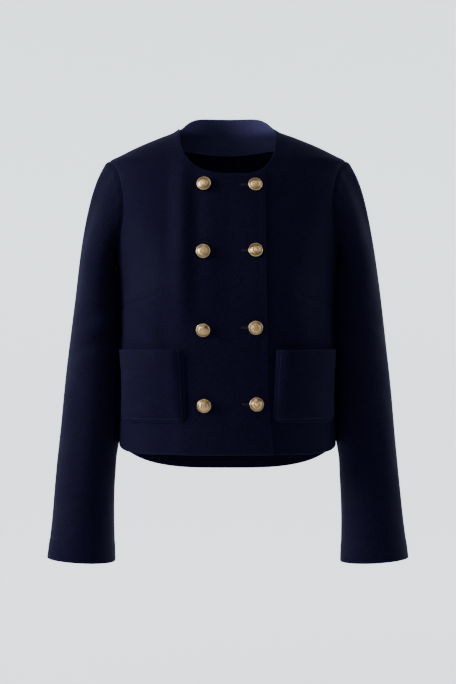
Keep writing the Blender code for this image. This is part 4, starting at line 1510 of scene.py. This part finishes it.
@dataclass(frozen=True)
class AntiqueGilt:
    """Stamped brass with an antiqued gilt wash: bright on what stands up, brown where polish can't reach."""

    name: str = "antiqued_gilt_brass"
    hollow: str = "#533116"
    gilt: str = "#ebc182"
    crest: str = "#ffeac6"
    roughness: float = 0.34
    wear_mm: float = 1.6

    def build(self) -> bpy.types.Material:
        """Colours the metal by the stored relief, and roughens its hollows."""
        material, shader = start_material(self.name)
        place = add_node(material, "ShaderNodeTexCoord").outputs["Object"]
        relief = add_node(material, "ShaderNodeAttribute", {"attribute_name": "relief"}).outputs["Fac"]
        first = blend(material, spread(material, relief, 0.05, 0.5), self.hollow, self.gilt)
        high = spread(material, relief, 0.55, 1.0)
        feed(material, shader, "Base Color", blend(material, high, first, self.crest))
        wear = add_node(material, "ShaderNodeTexNoise", {},
                        {"Vector": place, "Scale": 1 / (self.wear_mm * MM), "Detail": 4.0}).outputs["Fac"]
        feed(material, shader, "Roughness",
             spread(material, wear, 0.3, 0.7, self.roughness - 0.06, self.roughness + 0.12))
        feed(material, shader, "Normal", bump(material, wear, 0.2, 0.05))
        shader.inputs["Metallic"].default_value = 1.0
        material.diffuse_color = linear(self.gilt)
        return material


@dataclass(frozen=True)
class SewingThread:
    """Spun polyester thread, twisted and dyed to match the cloth: a little glossier than the knit."""

    name: str = "navy_sewing_thread"
    deep: str = "#0c0b1c"
    bright: str = "#1b1a36"
    twist_mm: float = 0.5

    def build(self) -> bpy.types.Material:
        """Shades the thread by a fine wave that stands for its twist."""
        material, shader = start_material(self.name)
        place = add_node(material, "ShaderNodeTexCoord").outputs["Object"]
        scale = 0.05 / (self.twist_mm * MM)
        twist = add_node(material, "ShaderNodeTexWave", {"bands_direction": "DIAGONAL"},
                         {"Vector": place, "Scale": scale, "Distortion": 0.6}).outputs["Fac"]
        feed(material, shader, "Base Color", blend(material, twist, self.deep, self.bright))
        feed(material, shader, "Normal", bump(material, twist, 0.4, 0.06))
        shader.inputs["Roughness"].default_value = 0.48
        material.diffuse_color = linear(self.bright)
        return material


@dataclass(frozen=True)
class StudioPaper:
    """Seamless background paper: matt and pale, a little cooler towards the top, and grey in front as painted
    shade, which keeps the room before the jacket dark.
    """

    name: str = "seamless_pale_paper"
    low: str = "#e6eaed"
    high: str = "#e3e9ee"
    shade: str = "#4a4e52"
    glow: float = 1.35
    dim_glow: float = 0.12

    def build(self) -> bpy.types.Material:
        """Blends two pale greys by height, greys the paper towards the front as painted shade, and lets the
        paper glow a little as lit paper does, dimly in front.
        """
        material, shader = start_material(self.name)
        place = add_node(material, "ShaderNodeTexCoord").outputs["Object"]
        split = add_node(material, "ShaderNodeSeparateXYZ", {}, {"Vector": place})
        height, depth = split.outputs["Z"], split.outputs["Y"]
        pale = blend(material, spread(material, height, -1.0, 0.4), self.low, self.high)
        # Painted shade: the paper turns grey towards the front, and its glow drops there too.
        colour = blend(material, spread(material, depth, 0.2, -2.4), pale, self.shade)
        feed(material, shader, "Base Color", colour)
        feed(material, shader, "Emission Color", colour)
        feed(material, shader, "Emission Strength",
             spread(material, depth, -0.1, 0.95, self.dim_glow, self.glow))
        shader.inputs["Roughness"].default_value = 0.95
        shader.inputs["Specular IOR Level"].default_value = 0.1
        return material


@dataclass
class Studio:
    """The round room of pale paper, the soft lights and the camera at the photograph's place."""

    camera_distance: float = 3.0
    camera_height: float = -0.330
    frame_height: float = 1.0602
    floor: float = -1.15
    wall: float = 4.9
    bend: float = 1.2
    wall_top: float = 6.5
    sides: int = 96
    lamps: tuple[tuple[str, tuple[float, float, float], float, float], ...] = (
        ("key_softbox", (-3.4, -1.1, 0.7), 1.8, 125.0),
        ("rim_softbox", (3.4, -0.3, 0.4), 1.4, 12.0),
        ("top_card", (0.0, -1.5, 2.3), 1.2, 9.0),
        ("front_card", (-0.6, -3.9, 1.0), 2.6, 15.0),
    )
    sky: float = 0.05
    sky_colour: str = "#eef1f6"

    def room(self, material: bpy.types.Material) -> bpy.types.Object:
        """Turns a floor, a quarter circle and a wall about the jacket, as one round sheet of paper.

        Args:
            material: the paper's finish.

        Returns:
            The sheet.
        """
        turn = np.linspace(0, QUARTER, 20)
        radius = np.concatenate([[0.5, 2.0], self.wall - self.bend + self.bend * np.sin(turn), [self.wall]])
        rise = self.bend * (1 - np.cos(turn))
        height = np.concatenate([[self.floor] * 2, self.floor + rise, [self.wall_top]])
        around = np.linspace(0, 2 * math.pi, self.sides, endpoint=False)
        rings = np.stack([radius[:, None] * np.cos(around), radius[:, None] * np.sin(around),
                          np.broadcast_to(height[:, None], (len(radius), self.sides))], axis=-1)
        points = np.concatenate([rings.reshape(-1, 3), [[0, 0, self.floor]]])
        index = np.arange(rings.shape[0] * self.sides).reshape(-1, self.sides)
        spare = np.full(self.sides, -1)
        middle = np.full(self.sides, len(points) - 1)
        fan = np.stack([middle, index[0], np.roll(index[0], -1), spare], axis=-1)
        faces = np.concatenate([quads(index, True)[:, ::-1], fan])
        paper = add_piece("paper_room", points / MM, faces, material)
        return paper

    def light(self, name: str, place: tuple[float, float, float], size: float, power: float) -> None:
        """A square soft light that looks at the chest.

        Args:
            name: the light's name.
            place: where it hangs.
            size: the length of its side.
            power: its power in watts.
        """
        data = bpy.data.lights.new(name, "AREA")
        data.size = size
        data.energy = power
        lamp = bpy.data.objects.new(name, data)
        lamp.location = place
        aim = np.array([0.0, 0.0, -0.3]) - np.array(place)
        lamp.rotation_euler = Vector(aim).to_track_quat("-Z", "Y").to_euler()
        lamp.visible_camera = False
        bpy.context.scene.collection.objects.link(lamp)

    def build(self, material: bpy.types.Material) -> None:
        """Sets up paper, lights, sky and camera."""
        self.room(material)
        for name, place, size, power in self.lamps:
            self.light(name, place, size, power)
        world = bpy.data.worlds.new("soft_room")
        world.use_nodes = True
        ground = world.node_tree.nodes["Background"]
        ground.inputs["Color"].default_value = linear(self.sky_colour)
        ground.inputs["Strength"].default_value = self.sky
        bpy.context.scene.world = world
        data = bpy.data.cameras.new("photo_camera")
        data.sensor_width = 36
        data.lens = 36 * self.camera_distance / self.frame_height
        camera = bpy.data.objects.new("photo_camera", data)
        camera.location = (0.0005, -self.camera_distance, self.camera_height)
        camera.rotation_euler = (QUARTER, 0, 0)
        bpy.context.scene.collection.objects.link(camera)
        bpy.context.scene.camera = camera


@dataclass
class Jacket:
    """The whole jacket, made piece by piece."""

    cloth_finish: ScubaCrepe = field(default_factory=ScubaCrepe)
    facing_finish: PaintedLightFacing = field(default_factory=PaintedLightFacing)
    metal_finish: AntiqueGilt = field(default_factory=AntiqueGilt)
    thread_finish: SewingThread = field(default_factory=SewingThread)
    plain_places: tuple[tuple[float, float], ...] = (
        (-35.3, -94.4), (-36.3, -196.5), (-36.2, -311.4), (-34.6, -424.5))
    fastened_places: tuple[tuple[float, float], ...] = (
        (41.2, -94.6), (41.5, -194.5), (41.5, -308.4), (42.8, -422.9))
    tilts: tuple[tuple[float, float], ...] = (
        (3, 10), (6, 25), (14, -20), (8, 5), (-4, -14), (-2, 12), (3, 30), (-6, -8))
    button_seat: float = 0.3
    eye_depth: float = 3.4
    lap_folds: tuple[Fold, ...] = (
        Fold((-68, -52), (-68, -310), 13.0, 3.2),
        Fold((-47, -52), (-46, -300), 12.0, -2.0),
        Fold((4, -78), (4, -302), 24.0, -1.2),
    )
    front_folds: tuple[Fold, ...] = (
        Fold((146, -300), (108, -352), 13.0, -1.3, 4.0),
        Fold((120, -296), (96, -360), 12.0, 1.1, 3.0),
        Fold((150, -170), (112, -250), 20.0, -1.4, -6.0),
        Fold((134, -120), (100, -232), 22.0, 1.2, 5.0),
        Fold((98, -86), (86, -200), 16.0, -1.0, 3.0),
    )
    back_folds: tuple[Fold, ...] = (
        Fold((-96, -120), (-70, -400), 24.0, -2.2, 8.0),
        Fold((102, -130), (66, -390), 26.0, -2.0, -9.0),
        Fold((-30, -200), (-18, -470), 30.0, 1.8, 4.0),
        Fold((34, -180), (20, -480), 28.0, 1.5, -5.0),
        Fold((-140, -270), (-90, -330), 16.0, -1.6, 5.0),
        Fold((142, -280), (88, -345), 17.0, -1.7, -5.0),
    )
    sleeve_folds: tuple[Fold, ...] = (
        Fold((150, -262), (38, -300), 11.0, -2.2, 5.0, 0.2),
        Fold((140, -292), (30, -322), 10.0, 1.6, 4.0),
        Fold((132, -316), (18, -352), 11.0, -1.7, 6.0, 0.2),
        Fold((-140, -300), (-40, -330), 12.0, -1.4, -5.0),
        Fold((58, -130), (52, -262), 22.0, 0.9, 5.0),
        Fold((-52, -130), (-46, -270), 22.0, -0.9, 5.0),
        Fold((60, -380), (70, -560), 16.0, -1.2, 6.0),
        Fold((-60, -400), (-50, -600), 18.0, 1.3, -6.0),
    )

    def build(self) -> None:
        """Makes and reports every piece."""
        cloth = self.cloth_finish.build()
        metal = self.metal_finish.build()
        thread = self.thread_finish.build()
        right = FrontPanel(Side.RIGHT, shared_folds=self.lap_folds, own_folds=self.front_folds)
        left = FrontPanel(Side.LEFT, shared_folds=self.lap_folds, own_folds=self.front_folds)
        back = BackPanel(folds=self.back_folds)
        right.build(cloth)
        left.build(cloth)
        back.build(cloth)
        NeckFacing(back).build(self.facing_finish.build(), thread)
        for side in Side:
            Sleeve(side, folds=self.sleeve_folds).build(cloth)
        for front, shift in ((right, 0.0), (left, 7.0)):
            PatchPocket(front, shift).build(cloth, thread)
        self.fasten(right, metal, thread)

    def fasten(self, right: FrontPanel, metal: bpy.types.Material, thread: bpy.types.Material) -> None:
        """Sets both columns of buttons on the right front, and works the buttonholes.

        Args:
            right: the front that laps over.
            metal: the buttons' finish.
            thread: the buttonholes' finish.
        """
        named = [(f"button_plain_{k}", place) for k, place in enumerate(self.plain_places, 1)]
        named += [(f"button_fastened_{k}", place) for k, place in enumerate(self.fastened_places, 1)]
        for (node, (across, height)), (pitch, roll) in zip(named, self.tilts):
            angle = FORM.angle_of_width(np.array(across), np.array(height))
            seat = float(right.lift(angle, np.array(height))) + self.button_seat
            if "plain" in node:
                seat += self.eye_depth
            DomedButton(node, across, height, seat, pitch, roll).build(metal)
        for number, (across, height) in enumerate(self.fastened_places, 1):
            Buttonhole(number, right, across, height).build(thread)


def main() -> None:
    """Builds the jacket and its studio in order."""
    logging.basicConfig(level=logging.INFO, format="%(name)s %(message)s")
    Jacket().build()
    Studio().build(StudioPaper().build())


if __name__ == "__main__":
    main()
